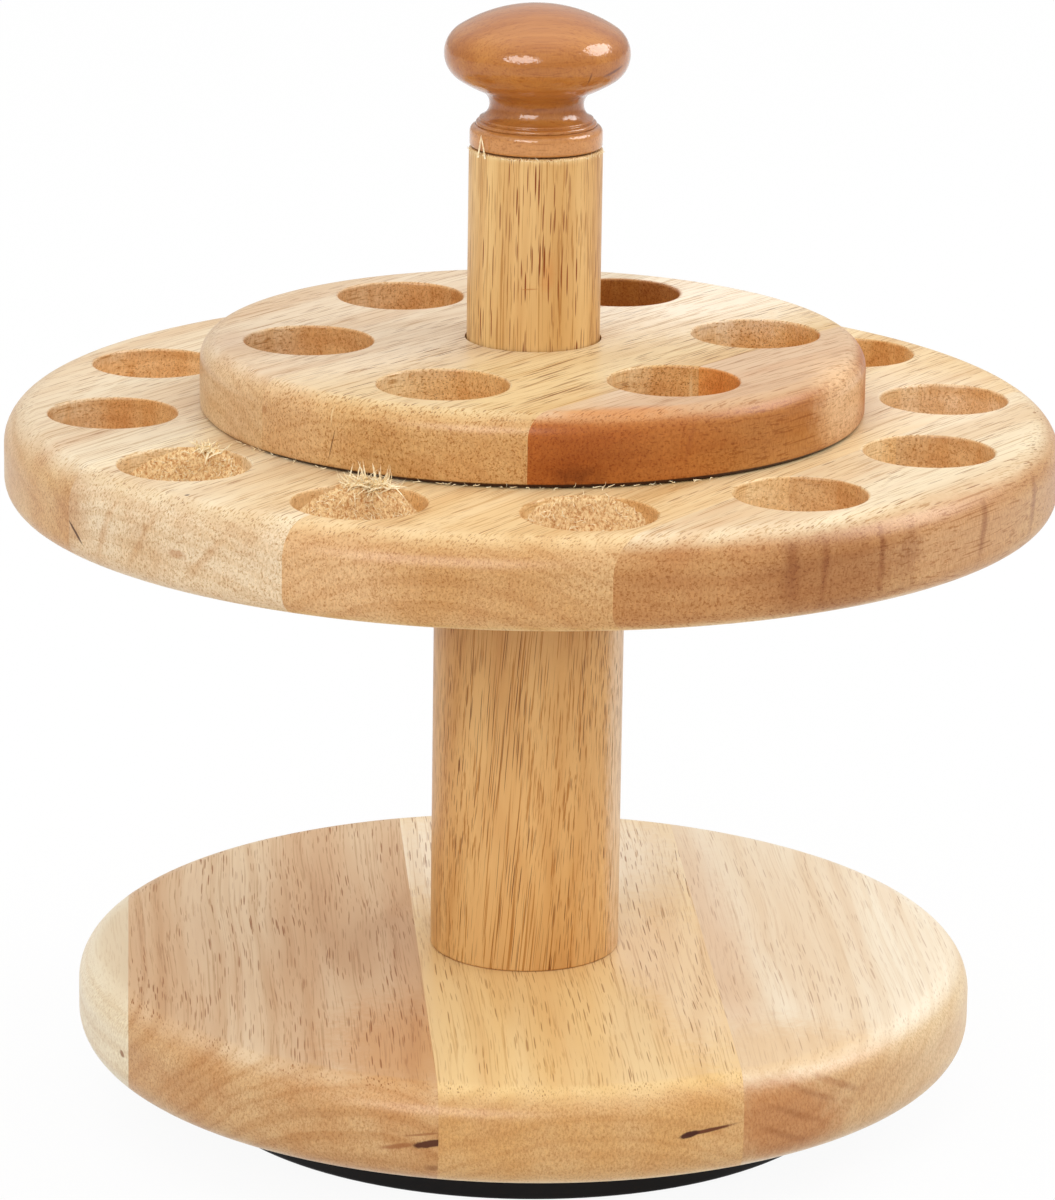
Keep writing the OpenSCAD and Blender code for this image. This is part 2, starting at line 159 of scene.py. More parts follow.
# layer, size and depth of large, small and fine pores
PORE_LAYERS = ((Layer.PORES, 1.0, 1.0), (Layer.SMALL_PORES, 0.86, 0.8), (Layer.FINE_PORES, 0.7, 0.55))


class Seen(Enum):
    """What a studio lamp does."""

    LIGHT = "lights the surfaces"
    SHINE = "shows in their shine"


class NodeSheet:
    """The node tree of a material or of the sky, with short calls that add nodes and link them."""

    def __init__(self, owner: bpy.types.Material | bpy.types.World) -> None:
        """Starts with an empty tree.

        Args:
            owner: The new material or world.
        """
        owner.use_nodes = True
        self.owner = owner
        self.tree = owner.node_tree
        self.tree.nodes.clear()

    def add(self, kind: str, **settings: object) -> bpy.types.Node:
        """Adds one node.

        Args:
            kind: Node type without the ShaderNode prefix.
            **settings: Properties to set on the node.

        Returns:
            The new node.
        """
        node = self.tree.nodes.new(f"ShaderNode{kind}")
        for key, value in settings.items():
            setattr(node, key, value)
        return node

    def feed(self, socket: Socket, value: Value | Colour | Point) -> None:
        """Links an output to a socket, or sets the socket to a constant.

        Args:
            socket: Input socket.
            value: Output socket, number or triple.
        """
        if isinstance(value, bpy.types.NodeSocket):
            self.tree.links.new(value, socket)
        elif isinstance(value, tuple) and socket.type == "RGBA":
            socket.default_value = (*value, 1.0)
        else:
            socket.default_value = value

    def math(self, how: str, *values: Value) -> Socket:
        """One sum on numbers.

        Args:
            how: Operation of the Math node.
            *values: One to three numbers.

        Returns:
            The result.
        """
        node = self.add("Math", operation=how)
        for socket, value in zip(node.inputs, values):
            self.feed(socket, value)
        return node.outputs[0]

    def vector(self, how: str, first: Socket, second: Socket | Point | None = None) -> bpy.types.Node:
        """One sum on vectors.

        Args:
            how: Operation of the Vector Math node.
            first: First vector.
            second: Second vector, if the operation has one.

        Returns:
            The node, whose outputs are the vector and the number.
        """
        node = self.add("VectorMath", operation=how)
        self.feed(node.inputs[0], first)
        if second is not None:
            self.feed(node.inputs[1], second)
        return node

    def mapped(self, where: Socket, kind: str = "POINT", **sockets: Point) -> Socket:
        """Coordinates moved, turned and scaled.

        Args:
            where: The coordinates.
            kind: POINT, or TEXTURE for the inverse.
            **sockets: Location, Rotation in radians and Scale.

        Returns:
            The new coordinates.
        """
        node = self.add("Mapping", vector_type=kind)
        self.feed(node.inputs["Vector"], where)
        for name, value in sockets.items():
            self.feed(node.inputs[name], value)
        return node.outputs[0]

    def stretch(self, where: Socket, scale: Point, shift: Point = (0.0, 0.0, 0.0)) -> Socket:
        """Coordinates scaled along each axis and then shifted."""
        return self.mapped(where, Location=shift, Scale=scale)

    def noise(self, where: Socket, detail: float = 2.0, roughness: float = 0.5, result: str = "Fac") -> Socket:
        """Noise of unit size.

        Args:
            where: The coordinates.
            detail: Number of finer layers.
            roughness: Strength of the finer layers.
            result: Fac for a number, Color for a triple.

        Returns:
            The noise.
        """
        node = self.add("TexNoise", noise_dimensions="3D")
        self.feed(node.inputs["Vector"], where)
        self.feed(node.inputs["Scale"], 1.0)
        self.feed(node.inputs["Detail"], detail)
        self.feed(node.inputs["Roughness"], roughness)
        return node.outputs[result]

    def relief(self, height: Socket, strength: float, depth_mm: float) -> Socket:
        """A surface normal bent by a height.

        Args:
            height: The height, from 0 to 1.
            strength: How much of it shows.
            depth_mm: Height of 1, in mm.

        Returns:
            The bent normal.
        """
        node = self.add("Bump")
        self.feed(node.inputs["Height"], height)
        self.feed(node.inputs["Strength"], strength)
        self.feed(node.inputs["Distance"], depth_mm * MM)
        return node.outputs[0]

    def share(self, first: Value, second: Value) -> Socket:
        """Two shares multiplied."""
        return self.math("MULTIPLY", first, second)

    def ramp(
        self, value: Socket, low: float, high: float, to_low: float = 0.0, to_high: float = 1.0,
        ease: str = "SMOOTHSTEP",
    ) -> Socket:
        """A number eased from one range to another.

        Args:
            value: The number.
            low: Where the ramp starts.
            high: Where it ends.
            to_low: Result at the start.
            to_high: Result at the end.
            ease: SMOOTHSTEP or LINEAR.

        Returns:
            The eased number.
        """
        node = self.add("MapRange", interpolation_type=ease)
        for name, number in (("From Min", low), ("From Max", high), ("To Min", to_low), ("To Max", to_high)):
            self.feed(node.inputs[name], number)
        self.feed(node.inputs["Value"], value)
        return node.outputs["Result"]

    def mix(self, share: Value, first: Socket | Colour, second: Socket | Colour, how: str = "MIX") -> Socket:
        """Two colours mixed.

        Args:
            share: Share of the second colour.
            first: First colour.
            second: Second colour.
            how: Blend type.

        Returns:
            The mixed colour.
        """
        node = self.add("Mix", data_type="RGBA", blend_type=how)
        self.feed(node.inputs[0], share)
        self.feed(node.inputs[6], first)
        self.feed(node.inputs[7], second)
        return node.outputs[2]

    def finish(self, **sockets: Value | Colour) -> bpy.types.Node:
        """Adds the surface shader and the output.

        Args:
            **sockets: Shader inputs, with _ for a space.

        Returns:
            The shader node.
        """
        shader = self.add("BsdfPrincipled")
        for name, value in sockets.items():
            self.feed(shader.inputs[name.replace("_", " ")], value)
        output = self.add("OutputMaterial")
        self.tree.links.new(shader.outputs[0], output.inputs["Surface"])
        return shader


@dataclass(frozen=True)
class Mark:
    """A streak, crack, knot or wide tint at one place in the wood, or a painted shade, light or sheen there.

    Attributes:
        at: Centre in the row frame, mm.
        reach: Half sizes along its own axes, mm.
        turn: Its turn about X, Y and Z, degrees.
        tone: Its colour.
        strength: How much it covers the wood.
        ragged: How far its edge wanders, as a share of its size.
        core: Share of its size that has the full tone.
    """

    at: Point
    reach: Point
    turn: Point = (0.0, 0.0, 0.0)
    tone: Colour = srgb(92, 52, 24)
    strength: float = 0.85
    ragged: float = 0.5
    core: float = 0.35


@dataclass(frozen=True)
class WoodFinish:
    """Lacquered rubberwood: bands, growth rings, fibre lines and open pores that run along the grain.

    Attributes:
        name: Name of the material.
        pale: Colour of the palest bands on long grain.
        deep: Colour of the deeper bands on long grain.
        blush: Colour of the faint pink or brown streaks.
        end_tone: Tint that end grain multiplies the colour by.
        rim_tone: Tint that the rim of a disc multiplies the colour by.
        rim_r: Radius of the disc, mm.
        hole_tone: Tint that the walls of the holes multiply the colour by.
        speck: How strong the fine specks of upright faces are.
        grain: Whether the fibres lie in a disc or stand in a post.
        grain_deg: Direction of the fibres in a disc, from +X.
        lean_deg: How far upright fibres lean over to +X.
        pith: Where the rings are centred across the grain, in the row frame, mm.
        pith_tilt: How far the rings lean against the fibres, degrees.
        ring_mm: Distance of the growth rings.
        ring_depth: How much darker the rings are.
        band_mm: Width of the bands.
        band_mid: Where between pale and deep most of the wood lies; lower is paler.
        blush_share: How much of the wood has the blush.
        pore: Colour of the pores.
        pore_mm: Spacing of the pores along and across the grain.
        pore_size: Size of a pore as a share of the spacing.
        pore_depth: How dark the pores are.
        line_depth: How strong the fine fibre lines are.
        roughness: Roughness of the lacquer.
        coat: Weight of the clear coat.
        coat_roughness: Roughness of the clear coat.
        peel: How wavy the lacquer's surface is, as on a thick coat.
        bump: How deep pores and fibres are in the surface.
        seed: Shift of all patterns, so that no two boards are alike.
        tints: Wide areas of another tone, some of them painted shade, light or sheen, under the lines and pores.
        marks: Single streaks, cracks and knots, and a painted gap shadow.
    """

    name: str
    pale: Colour
    deep: Colour
    blush: Colour
    end_tone: Colour = (0.9, 0.8, 0.7)
    rim_tone: Colour = (1.0, 1.0, 1.0)
    rim_r: float = 0.0
    hole_tone: Colour = (1.1, 1.06, 0.99)
    speck: float = 0.42
    grain: Grain = Grain.FLAT
    grain_deg: float = 0.0
    lean_deg: float = 0.0
    pith: Flat = (0.0, 60.0)
    pith_tilt: float = 1.5
    ring_mm: float = 2.6
    ring_depth: float = 0.3
    band_mm: float = 16.0
    band_mid: float = 0.5
    blush_share: float = 0.3
    pore: Colour = srgb(132, 78, 32)
    pore_mm: Flat = (20.0, 0.85)
    pore_size: float = 0.21
    pore_depth: float = 0.8
    line_depth: float = 0.8
    roughness: float = 0.4
    coat: float = 0.3
    coat_roughness: float = 0.3
    peel: float = 0.0
    bump: float = 0.12
    seed: float = 0.0
    tints: tuple[Mark, ...] = ()
    marks: tuple[Mark, ...] = ()

    def material(self) -> bpy.types.Material:
        """Builds the node material."""
        return WoodSheet(self).build()


class WoodSheet(NodeSheet):
    """The nodes of one piece of wood.

    Attributes:
        wood: The finish.
        surface: The coordinates node.
        place: Place in the row frame, mm.
        along: Place with X along the fibres, which wander a little to the sides, mm.
    """

    def __init__(self, wood: WoodFinish) -> None:
        """Starts with the coordinates that all patterns share.

        Args:
            wood: The finish.
        """
        super().__init__(bpy.data.materials.new(wood.name))
        self.wood = wood
        self.surface = self.add("TexCoord")
        row = self.vector("SCALE", self.surface.outputs["Object"])
        self.feed(row.inputs["Scale"], 1.0 / MM)
        self.place = row.outputs["Vector"]
        turn = (0.0, 0.0, -math.radians(wood.grain_deg))
        if wood.grain is Grain.UPRIGHT:
            turn = (0.0, math.radians(90.0 - wood.lean_deg), 0.0)
        straight = self.mapped(self.place, Rotation=turn)
        shifted = self.mapped(straight, Location=tuple(wood.seed * shift for shift in WARP_SHIFT))
        warp = self.noise(self.stretch(shifted, WARP_SCALE), detail=2.0, result="Color")
        centred = self.vector("SUBTRACT", warp, (0.5, 0.5, 0.5)).outputs["Vector"]
        bent = self.vector("ADD", straight, self.stretch(centred, (0.0, WARP_MM, WARP_MM)))
        self.along = bent.outputs["Vector"]

    def build(self) -> bpy.types.Material:
        """Lays the patterns over one another, from the bands up to the single marks.

        Returns:
            The material.
        """
        wood = self.wood
        band = self.pattern(Layer.BANDS, (BAND_ALONG, 1 / wood.band_mm, 1 / wood.band_mm), 4.0)
        pale = self.ramp(band, wood.band_mid - BAND_BLUR, wood.band_mid + BAND_BLUR)
        colour = self.mix(pale, wood.deep, wood.pale)
        blush = self.pattern(Layer.BLUSH, BLUSH_SCALE, 4.0, 0.62)
        colour = self.mix(self.ramp(blush, *BLUSH_EDGE, 0.0, wood.blush_share), colour, wood.blush)
        colour = self.mix(self.end_grain(), colour, wood.end_tone, "MULTIPLY")

        pores = self.pores()
        pore_share = self.share(pores, wood.pore_depth)
        if wood.grain is Grain.FLAT:
            upright = self.upright()
            rim = self.share(upright, self.near_rim())
            wall = self.math("SUBTRACT", upright, rim)
            colour = self.mix(rim, colour, wood.rim_tone, "MULTIPLY")
            colour = self.mix(wall, colour, wood.hole_tone, "MULTIPLY")
        for tint in wood.tints:
            colour = self.marked(colour, tint)
        if wood.grain is Grain.FLAT:
            colour = self.specked(colour, upright, wall)
            for face, less in ((rim, RIM_PORES_LESS), (wall, WALL_PORES_LESS)):
                pore_share = self.share(pore_share, self.math("MULTIPLY_ADD", face, -less, 1.0))

        colour = self.mix(self.share(self.rings(), wood.ring_depth), colour, RING_TINT, "MULTIPLY")
        lines = self.ramp(self.pattern(Layer.LINES, LINE_SCALE, 3.0, 0.6), *LINE_EDGE)
        colour = self.mix(self.share(lines, wood.line_depth), colour, LINE_TINT, "MULTIPLY")
        colour = self.mix(pore_share, colour, wood.pore)
        for mark in wood.marks:
            colour = self.marked(colour, mark)

        height = self.math("SUBTRACT", self.share(pores, -1.0), self.share(lines, LINE_RELIEF))
        shader = self.finish(
            Base_Color=colour,
            Roughness=self.ramp(pores, 0.0, 1.0, wood.roughness, min(1.0, wood.roughness + PORE_ROUGHER)),
            Normal=self.relief(height, wood.bump, PORE_MM), Specular_IOR_Level=BARE_WOOD_SHINE,
            Coat_Weight=wood.coat, Coat_Roughness=wood.coat_roughness,
        )
        if wood.peel:
            ripple = self.noise(self.stretch(self.place, PEEL_SCALE), detail=1.0)
            self.feed(shader.inputs["Coat Normal"], self.relief(ripple, wood.peel, PEEL_MM))
        return self.owner

    def seeded(self, layer: Layer, scale: Point) -> Socket:
        """Coordinates of one pattern, shifted by the board's seed.

        Args:
            layer: The pattern.
            scale: How many times it repeats per mm.

        Returns:
            The pattern's coordinates.
        """
        shift = SEED_SHIFT * self.wood.seed + LAYER_SHIFT * layer.value
        return self.stretch(self.along, scale, (shift, 2 * shift, 3 * shift))

    def pattern(self, layer: Layer, scale: Point, detail: float, roughness: float = 0.5) -> Socket:
        """Noise along the fibres, other for each layer and board."""
        return self.noise(self.seeded(layer, scale), detail, roughness)

    def rings(self) -> Socket:
        """Growth rings round the pith, unevenly strong.

        Returns:
            How dark the rings are, from 0 to 1.
        """
        lean = math.radians(self.wood.pith_tilt)
        pith = (0.0, -self.wood.pith[0], -self.wood.pith[1])
        leaning = self.mapped(self.along, Location=pith, Rotation=(0.0, lean, lean))
        radius = self.vector("LENGTH", self.stretch(leaning, (0.0, 1.0, 1.0))).outputs["Value"]
        ring = self.add("TexNoise", noise_dimensions="1D")
        self.feed(ring.inputs["W"], self.math("MULTIPLY", radius, 1 / self.wood.ring_mm))
        self.feed(ring.inputs["Scale"], 1.0)
        self.feed(ring.inputs["Detail"], 1.0)
        return self.ramp(ring.outputs["Fac"], *RING_EDGE)

    def upright(self) -> Socket:
        """How upright the surface stands.

        Returns:
            From 0, level, to 1.
        """
        split = self.add("SeparateXYZ")
        self.feed(split.inputs[0], self.surface.outputs["Normal"])
        return self.ramp(self.math("ABSOLUTE", split.outputs["Z"]), *UPRIGHT_EDGE, 1.0, 0.0)

    def near_rim(self) -> Socket:
        """Whether a place lies at the outer rim of the disc, from 0 to 1."""
        radius = self.vector("LENGTH", self.stretch(self.place, (1.0, 1.0, 0.0))).outputs["Value"]
        return self.ramp(radius, *(self.wood.rim_r - width for width in RIM_BAND_MM))

    def end_grain(self) -> Socket:
        """How squarely the surface cuts the fibres.

        Returns:
            From 0, long grain, to 1, end grain.
        """
        angle = math.radians(self.wood.grain_deg)
        fibre = (0.0, 0.0, 1.0) if self.wood.grain is Grain.UPRIGHT else (math.cos(angle), math.sin(angle), 0.0)
        facing = self.vector("DOT_PRODUCT", self.surface.outputs["Normal"], fibre).outputs["Value"]
        return self.ramp(self.math("ABSOLUTE", facing), *END_EDGE)

    def pores(self) -> Socket:
        """Open pores: dashes on long grain, dots on end grain.

        Returns:
            How deep the pores are, from 0 to 1.
        """
        length, width = self.wood.pore_mm
        size = self.wood.pore_size
        total: Socket | None = None
        for layer, scale, weight in PORE_LAYERS:
            cell = self.add("TexVoronoi", voronoi_dimensions="3D", feature="F1")
            spread = (1 / (length * scale), 1 / (width * scale), 1 / (width * scale))
            self.feed(cell.inputs["Vector"], self.seeded(layer, spread))
            self.feed(cell.inputs["Scale"], 1.0)
            dot = self.ramp(cell.outputs["Distance"], size * PORE_CORE, size, weight, 0.0)
            total = dot if total is None else self.math("MAXIMUM", total, dot)
        thin = self.pattern(Layer.THINNING, THINNING_SCALE, 2.0)
        return self.share(total, self.ramp(thin, *THINNING_EDGE, 0.3, 1.0))

    def specked(self, colour: Socket, upright: Socket, wall: Socket) -> Socket:
        """Lays brown patches over the walls of the holes and fine specks over all upright faces.

        Args:
            colour: Colour so far.
            upright: How upright the surface stands.
            wall: Whether it is the wall of a hole.

        Returns:
            The new colour.
        """
        patch = self.noise(self.stretch(self.place, PATCH_SCALE), detail=3.0)
        drilled = self.share(self.ramp(patch, *PATCH_EDGE, 0.0, 0.55), wall)
        colour = self.mix(drilled, colour, DRILLED_TINT, "MULTIPLY")
        speck = self.noise(self.stretch(self.place, SPECK_SCALE), detail=2.0, roughness=0.6)
        for edge, tint in ((SPECK_EDGE, SPECK_TINT), (GLINT_EDGE, GLINT_TINT)):
            spots = self.share(self.ramp(speck, *edge), upright)
            colour = self.mix(self.share(spots, self.wood.speck), colour, tint, "MULTIPLY")
        return colour

    def marked(self, colour: Socket, mark: Mark) -> Socket:
        """Lays one mark over the colour.

        Args:
            colour: Colour so far.
            mark: The mark.

        Returns:
            The new colour.
        """
        rough = self.noise(self.stretch(self.place, RAGGED_SCALE), detail=3.0, roughness=0.7)
        turn = tuple(math.radians(angle) for angle in mark.turn)
        local = self.mapped(self.place, "TEXTURE", Location=mark.at, Rotation=turn, Scale=mark.reach)
        away = self.vector("LENGTH", local).outputs["Value"]
        uneven = self.math("MULTIPLY_ADD", rough, mark.ragged, -0.5 * mark.ragged)
        cover = self.ramp(self.math("ADD", away, uneven), mark.core, 1.0, mark.strength, 0.0)
        return self.mix(cover, colour, mark.tone)


@dataclass(frozen=True)
class MouldedPlastic:
    """Moulded plastic with a fine spark-eroded grain.

    Attributes:
        name: Name of the material.
        tone: Colour.
        shade: Colour in the grain's low spots.
        roughness: Roughness.
        grain_mm: Size of the grain.
    """

    name: str
    tone: Colour
    shade: Colour
    roughness: float = 0.45
    grain_mm: float = 0.35

    def material(self) -> bpy.types.Material:
        """Builds the node material.

        Returns:
            The material.
        """
        sheet = NodeSheet(bpy.data.materials.new(self.name))
        where = sheet.add("TexCoord").outputs["Object"]
        fine = sheet.noise(sheet.stretch(where, (1 / (self.grain_mm * MM),) * 3), detail=2.0)
        cloud = sheet.noise(sheet.stretch(where, (40.0, 40.0, 40.0)), detail=2.0)
        sheet.finish(
            Base_Color=sheet.mix(cloud, self.tone, self.shade),
            Roughness=sheet.ramp(cloud, 0.3, 0.7, self.roughness - 0.05, self.roughness + 0.08),
            Normal=sheet.relief(fine, 0.25, 0.05), Specular_IOR_Level=0.15,
        )
        return sheet.owner


@dataclass(frozen=True)
class PlatedSteel:
    """Zinc-plated steel with faint turning lines and dull patches.

    Attributes:
        name: Name of the material.
        tone: Colour of the bright zinc.
        dull: Colour of the dulled patches.
    """

    name: str = "zinc_plated_steel"
    tone: Colour = (0.62, 0.62, 0.64)
    dull: Colour = (0.46, 0.46, 0.47)

    def material(self) -> bpy.types.Material:
        """Builds the node material.

        Returns:
            The material.
        """
        sheet = NodeSheet(bpy.data.materials.new(self.name))
        where = sheet.add("TexCoord").outputs["Object"]
        cloud = sheet.noise(sheet.stretch(where, (350.0, 350.0, 350.0)), detail=4.0, roughness=0.65)
        line = sheet.noise(sheet.stretch(where, (300.0, 300.0, 6000.0)), detail=2.0)
        sheet.finish(
            Base_Color=sheet.mix(sheet.ramp(cloud, 0.4, 0.7), self.tone, self.dull), Metallic=1.0,
            Roughness=sheet.ramp(cloud, 0.35, 0.7, 0.26, 0.46), Normal=sheet.relief(line, 0.12, 0.03),
        )
        return sheet.owner


def clear_selection() -> None:
    """Deselects every object, in object mode."""
    if bpy.context.object is not None and bpy.context.object.mode != "OBJECT":
        bpy.ops.object.mode_set(mode="OBJECT")
    bpy.ops.object.select_all(action="DESELECT")


def dress(nodes: list[str], material: bpy.types.Material) -> None:
    """Gives CAD nodes their material.

    Args:
        nodes: Names of the nodes.
        material: The material.
    """
    for name in nodes:
        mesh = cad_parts[name].data
        mesh.materials.clear()
        mesh.materials.append(material)
        LOG.info("%s: %s", name, material.name)


def settle(piece: bpy.types.Object, name: str, material: bpy.types.Material) -> None:
    """Names a finished piece, gives it its material and lets it ride on the rack.

    Args:
        piece: The piece, with its place in its mesh.
        name: Its name.
        material: Its material.
    """
    piece.name = name
    piece.data.name = name
    piece.data.materials.clear()
    piece.data.materials.append(material)
    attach(piece, "rack")
    LOG.info("%s: %d faces", name, len(piece.data.polygons))


def outwards(degrees: float) -> Vector:
    """Direction in plan, away from an upright axis."""
    return Vector((math.cos(math.radians(degrees)), math.sin(math.radians(degrees)), 0.0))


def arc(centre: Flat, radius: float, start: float, end: float, steps: int) -> list[Flat]:
    """Points on an arc of a profile.

    Args:
        centre: Its centre.
        radius: Its radius.
        start: Angle where it starts, degrees.
        end: Angle where it ends, degrees.
        steps: Number of pieces.

    Returns:
        The points, both ends included.
    """
    turns = [math.radians(start + (end - start) * i / steps) for i in range(steps + 1)]
    return [(centre[0] + radius * math.cos(t), centre[1] + radius * math.sin(t)) for t in turns]


@dataclass
class Knob:
    """The turned knob on the upper post, all sizes in mm.

    Attributes:
        foot_z: Height of the knob's foot.
        cap_r: Widest radius of the cap.
        cap_h: Height of the cap.
        edge_r: Radius of the cap's edge.
        neck_r: Radius of the neck.
        cove_r: Radius of the hollow that joins neck and cap.
        collar_r: Radius of the collar.
        top: Height of the whole knob.
        turns: Steps round the axis.
        finish: Its wood.
    """

    foot_z: float = 215.3
    cap_r: float = 20.1
    cap_h: float = 21.0
    edge_r: float = 6.5
    neck_r: float = 10.2
    cove_r: float = 3.2
    collar_r: float = 14.4
    top: float = 31.0
    turns: int = 96
    finish: WoodFinish = WoodFinish(
        name="knob_honey_gloss", pale=srgb(192, 127, 60), deep=srgb(174, 106, 42), blush=srgb(152, 84, 32),
        end_tone=(0.96, 0.93, 0.9), hole_tone=(1.0, 1.0, 1.0), speck=0.26, grain_deg=6.0, pith=(70.0, 292.0),
        pith_tilt=5.0, ring_mm=2.4, ring_depth=0.3, band_mm=6.0, pore_mm=(8.0, 0.8), pore_size=0.18,
        pore_depth=0.4, line_depth=0.5, roughness=0.34, coat=0.85, coat_roughness=0.07, peel=0.75, bump=0.06,
        seed=3.0,
        tints=(
            # painted sheen: the collar is tinted paler where it catches light from the front
            Mark((0.0, 0.0, 217.5), (30.0, 30.0, 4.5), (0, 0, 0), srgb(218, 160, 98), 0.7, 0.3, 0.35),
            # painted shade: the neck is tinted darker under the overhanging cap
            Mark((0.0, 0.0, 225.0), (15.0, 15.0, 5.0), (0, 0, 0), srgb(146, 84, 34), 0.45, 0.2, 0.4),
        ),
        marks=(
            Mark((11.0, -15.6, 233.4), (0.35, 3.0, 1.9), (0, 8, 35), srgb(112, 56, 20), 0.75, 0.4),
            Mark((16.2, -11.0, 234.0), (4.8, 3.2, 0.5), (0, -12, 57), srgb(108, 52, 18), 0.85, 0.3),
        ),
    )

    def profile(self) -> list[Flat]:
        """Outline of the turning, from the axis at the foot to the axis at the top.

        Returns:
            Radius and height of each point, in mm over the foot.
        """
        half = self.cap_h / 2
        middle = self.top - half
        edge_x = self.cap_r - self.edge_r
        wide = (edge_x ** 2 + half ** 2 - self.edge_r ** 2) / (2 * (half - self.edge_r))
        low, high = middle + wide - half, middle + half - wide
        slope = math.degrees(math.asin(edge_x / (wide - self.edge_r)))
        cove_x = self.neck_r + self.cove_r
        cove_z = low - math.sqrt((wide + self.cove_r) ** 2 - cove_x ** 2)
        rise = math.degrees(math.atan2(low - cove_z, -cove_x))
        # foot, shadow groove and collar
        line = [(0.0, 0.0), (12.2, 0.0), (12.9, 0.3)]
        line += arc((self.collar_r - 0.6, 0.95), 0.6, -90, 0, 6)
        line += arc((self.collar_r - 1.5, 3.45), 1.5, 0, 80, 9)
        # two fine beads
        line += [(12.95, 4.75)]
        line += arc((12.55, 5.3), 0.55, -60, 80, 8)
        line += [(12.3, 5.95)]
        line += arc((12.05, 6.3), 0.32, -50, 75, 6)
        # neck and cap
        line += arc((cove_x, cove_z), self.cove_r, 232, 180, 10)
        line += arc((cove_x, cove_z), self.cove_r, 180, rise, 14)[1:]
        meet = math.degrees(math.asin(cove_x / (wide + self.cove_r)))
        line += arc((0.0, low), wide, -90 + meet, -90 + slope, 10)[1:]
        line += arc((edge_x, middle), self.edge_r, -90 + slope, 90 - slope, 22)[1:]
        line += arc((0.0, high), wide, 90 - slope, 90, 14)[1:]
        return line

    def build(self) -> None:
        """Turns the knob from its outline, as on a lathe."""
        clear_selection()
        line = self.profile()
        bpy.ops.mesh.primitive_plane_add(size=MM)
        knob = bpy.context.object
        bpy.ops.object.mode_set(mode="EDIT")
        bpy.ops.mesh.merge(type="CENTER")
        bpy.ops.transform.translate(value=(0.0, 0.0, (self.foot_z + line[0][1]) * MM))
        for (r0, z0), (r1, z1) in zip(line, line[1:]):
            step = ((r1 - r0) * MM, 0.0, (z1 - z0) * MM)
            bpy.ops.mesh.extrude_region_move(TRANSFORM_OT_translate={"value": step})
        bpy.ops.mesh.select_all(action="SELECT")
        bpy.ops.mesh.spin(steps=self.turns, angle=2 * math.pi, center=(0.0, 0.0, 0.0), axis=(0.0, 0.0, 1.0))
        bpy.ops.mesh.select_all(action="SELECT")
        bpy.ops.mesh.remove_doubles(threshold=0.01 * MM)
        bpy.ops.mesh.normals_make_consistent(inside=False)
        bpy.ops.object.mode_set(mode="OBJECT")
        bpy.ops.object.shade_smooth_by_angle(angle=math.radians(40))
        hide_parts("knob")
        settle(knob, "turned_knob", self.finish.material())


@dataclass
class Posts:
    """The upper and the lower post.

    Attributes:
        upper: Wood of the upper post.
        lower: Wood of the lower post.
    """

    upper: WoodFinish = WoodFinish(
        name="upper_post_satin", pale=srgb(234, 196, 134), deep=srgb(214, 168, 104), blush=srgb(202, 148, 86),
        end_tone=(0.8, 0.66, 0.5), grain=Grain.UPRIGHT, pith=(30.0, 12.0), ring_mm=2.2, ring_depth=0.3, band_mm=9.0,
        pore_mm=(17.0, 0.75), pore_size=0.25, pore_depth=1.0, pore=srgb(130, 56, 6), line_depth=0.8, seed=1.0,
        tints=(
            Mark((0.0, 0.0, 215.6), (40.0, 40.0, 1.9), (0, 0, 0), srgb(240, 214, 160), 0.7, 0.7, 0.3),
            Mark((3.0, -14.0, 190.0), (2.2, 4.0, 7.0), (0, 6, 10), srgb(208, 138, 70), 0.5, 0.9, 0.1),
        ),
        marks=(Mark((-1.0, -14.5, 187.0), (2.4, 3.0, 0.22), (0, -4, 0), srgb(186, 112, 50), 0.6, 0.4),),
    )
    lower: WoodFinish = WoodFinish(
        name="lower_post_satin", pale=srgb(233, 190, 127), deep=srgb(213, 160, 94), blush=srgb(202, 144, 82),
        end_tone=(0.8, 0.66, 0.5), grain=Grain.UPRIGHT, pith=(36.0, -16.0), pith_tilt=4.0, ring_mm=2.2,
        ring_depth=0.25, band_mm=12.0, pore_mm=(44.0, 0.6), pore_size=0.23, pore_depth=0.95, pore=srgb(112, 56, 12),
        line_depth=1.0, lean_deg=4.0, seed=2.0,
        tints=(
            # painted shadow: the top of the lower post is tinted darker under the lower tier, fading downwards
            Mark((0.0, 0.0, 139.0), (60.0, 60.0, 46.0), (0, 0, 0), srgb(148, 96, 52), 0.42, 0.1, 0.55),
            # painted sheen: a paler band down the right side of the lower post
            Mark((20.5, -6.0, 86.0), (5.2, 11.0, 80.0), (0, 0, 0), srgb(238, 211, 174), 0.85, 0.5, 0.35),
        ),
    )

    def build(self) -> None:
        """Dresses both posts."""
        dress(["upper_post"], self.upper.material())
        dress(["lower_post"], self.lower.material())


@dataclass
class StavedDisc:
    """A disc glued up from boards, each with its own wood.

    Attributes:
        name: Start of its boards' names.
        finishes: Wood of each board.
    """

    name: str
    finishes: list[WoodFinish] = field(default_factory=list)

    def build(self) -> None:
        """Dresses each board."""
        for number, finish in enumerate(self.finishes, start=1):
            dress([f"{self.name}_stave_{number}"], finish.material())


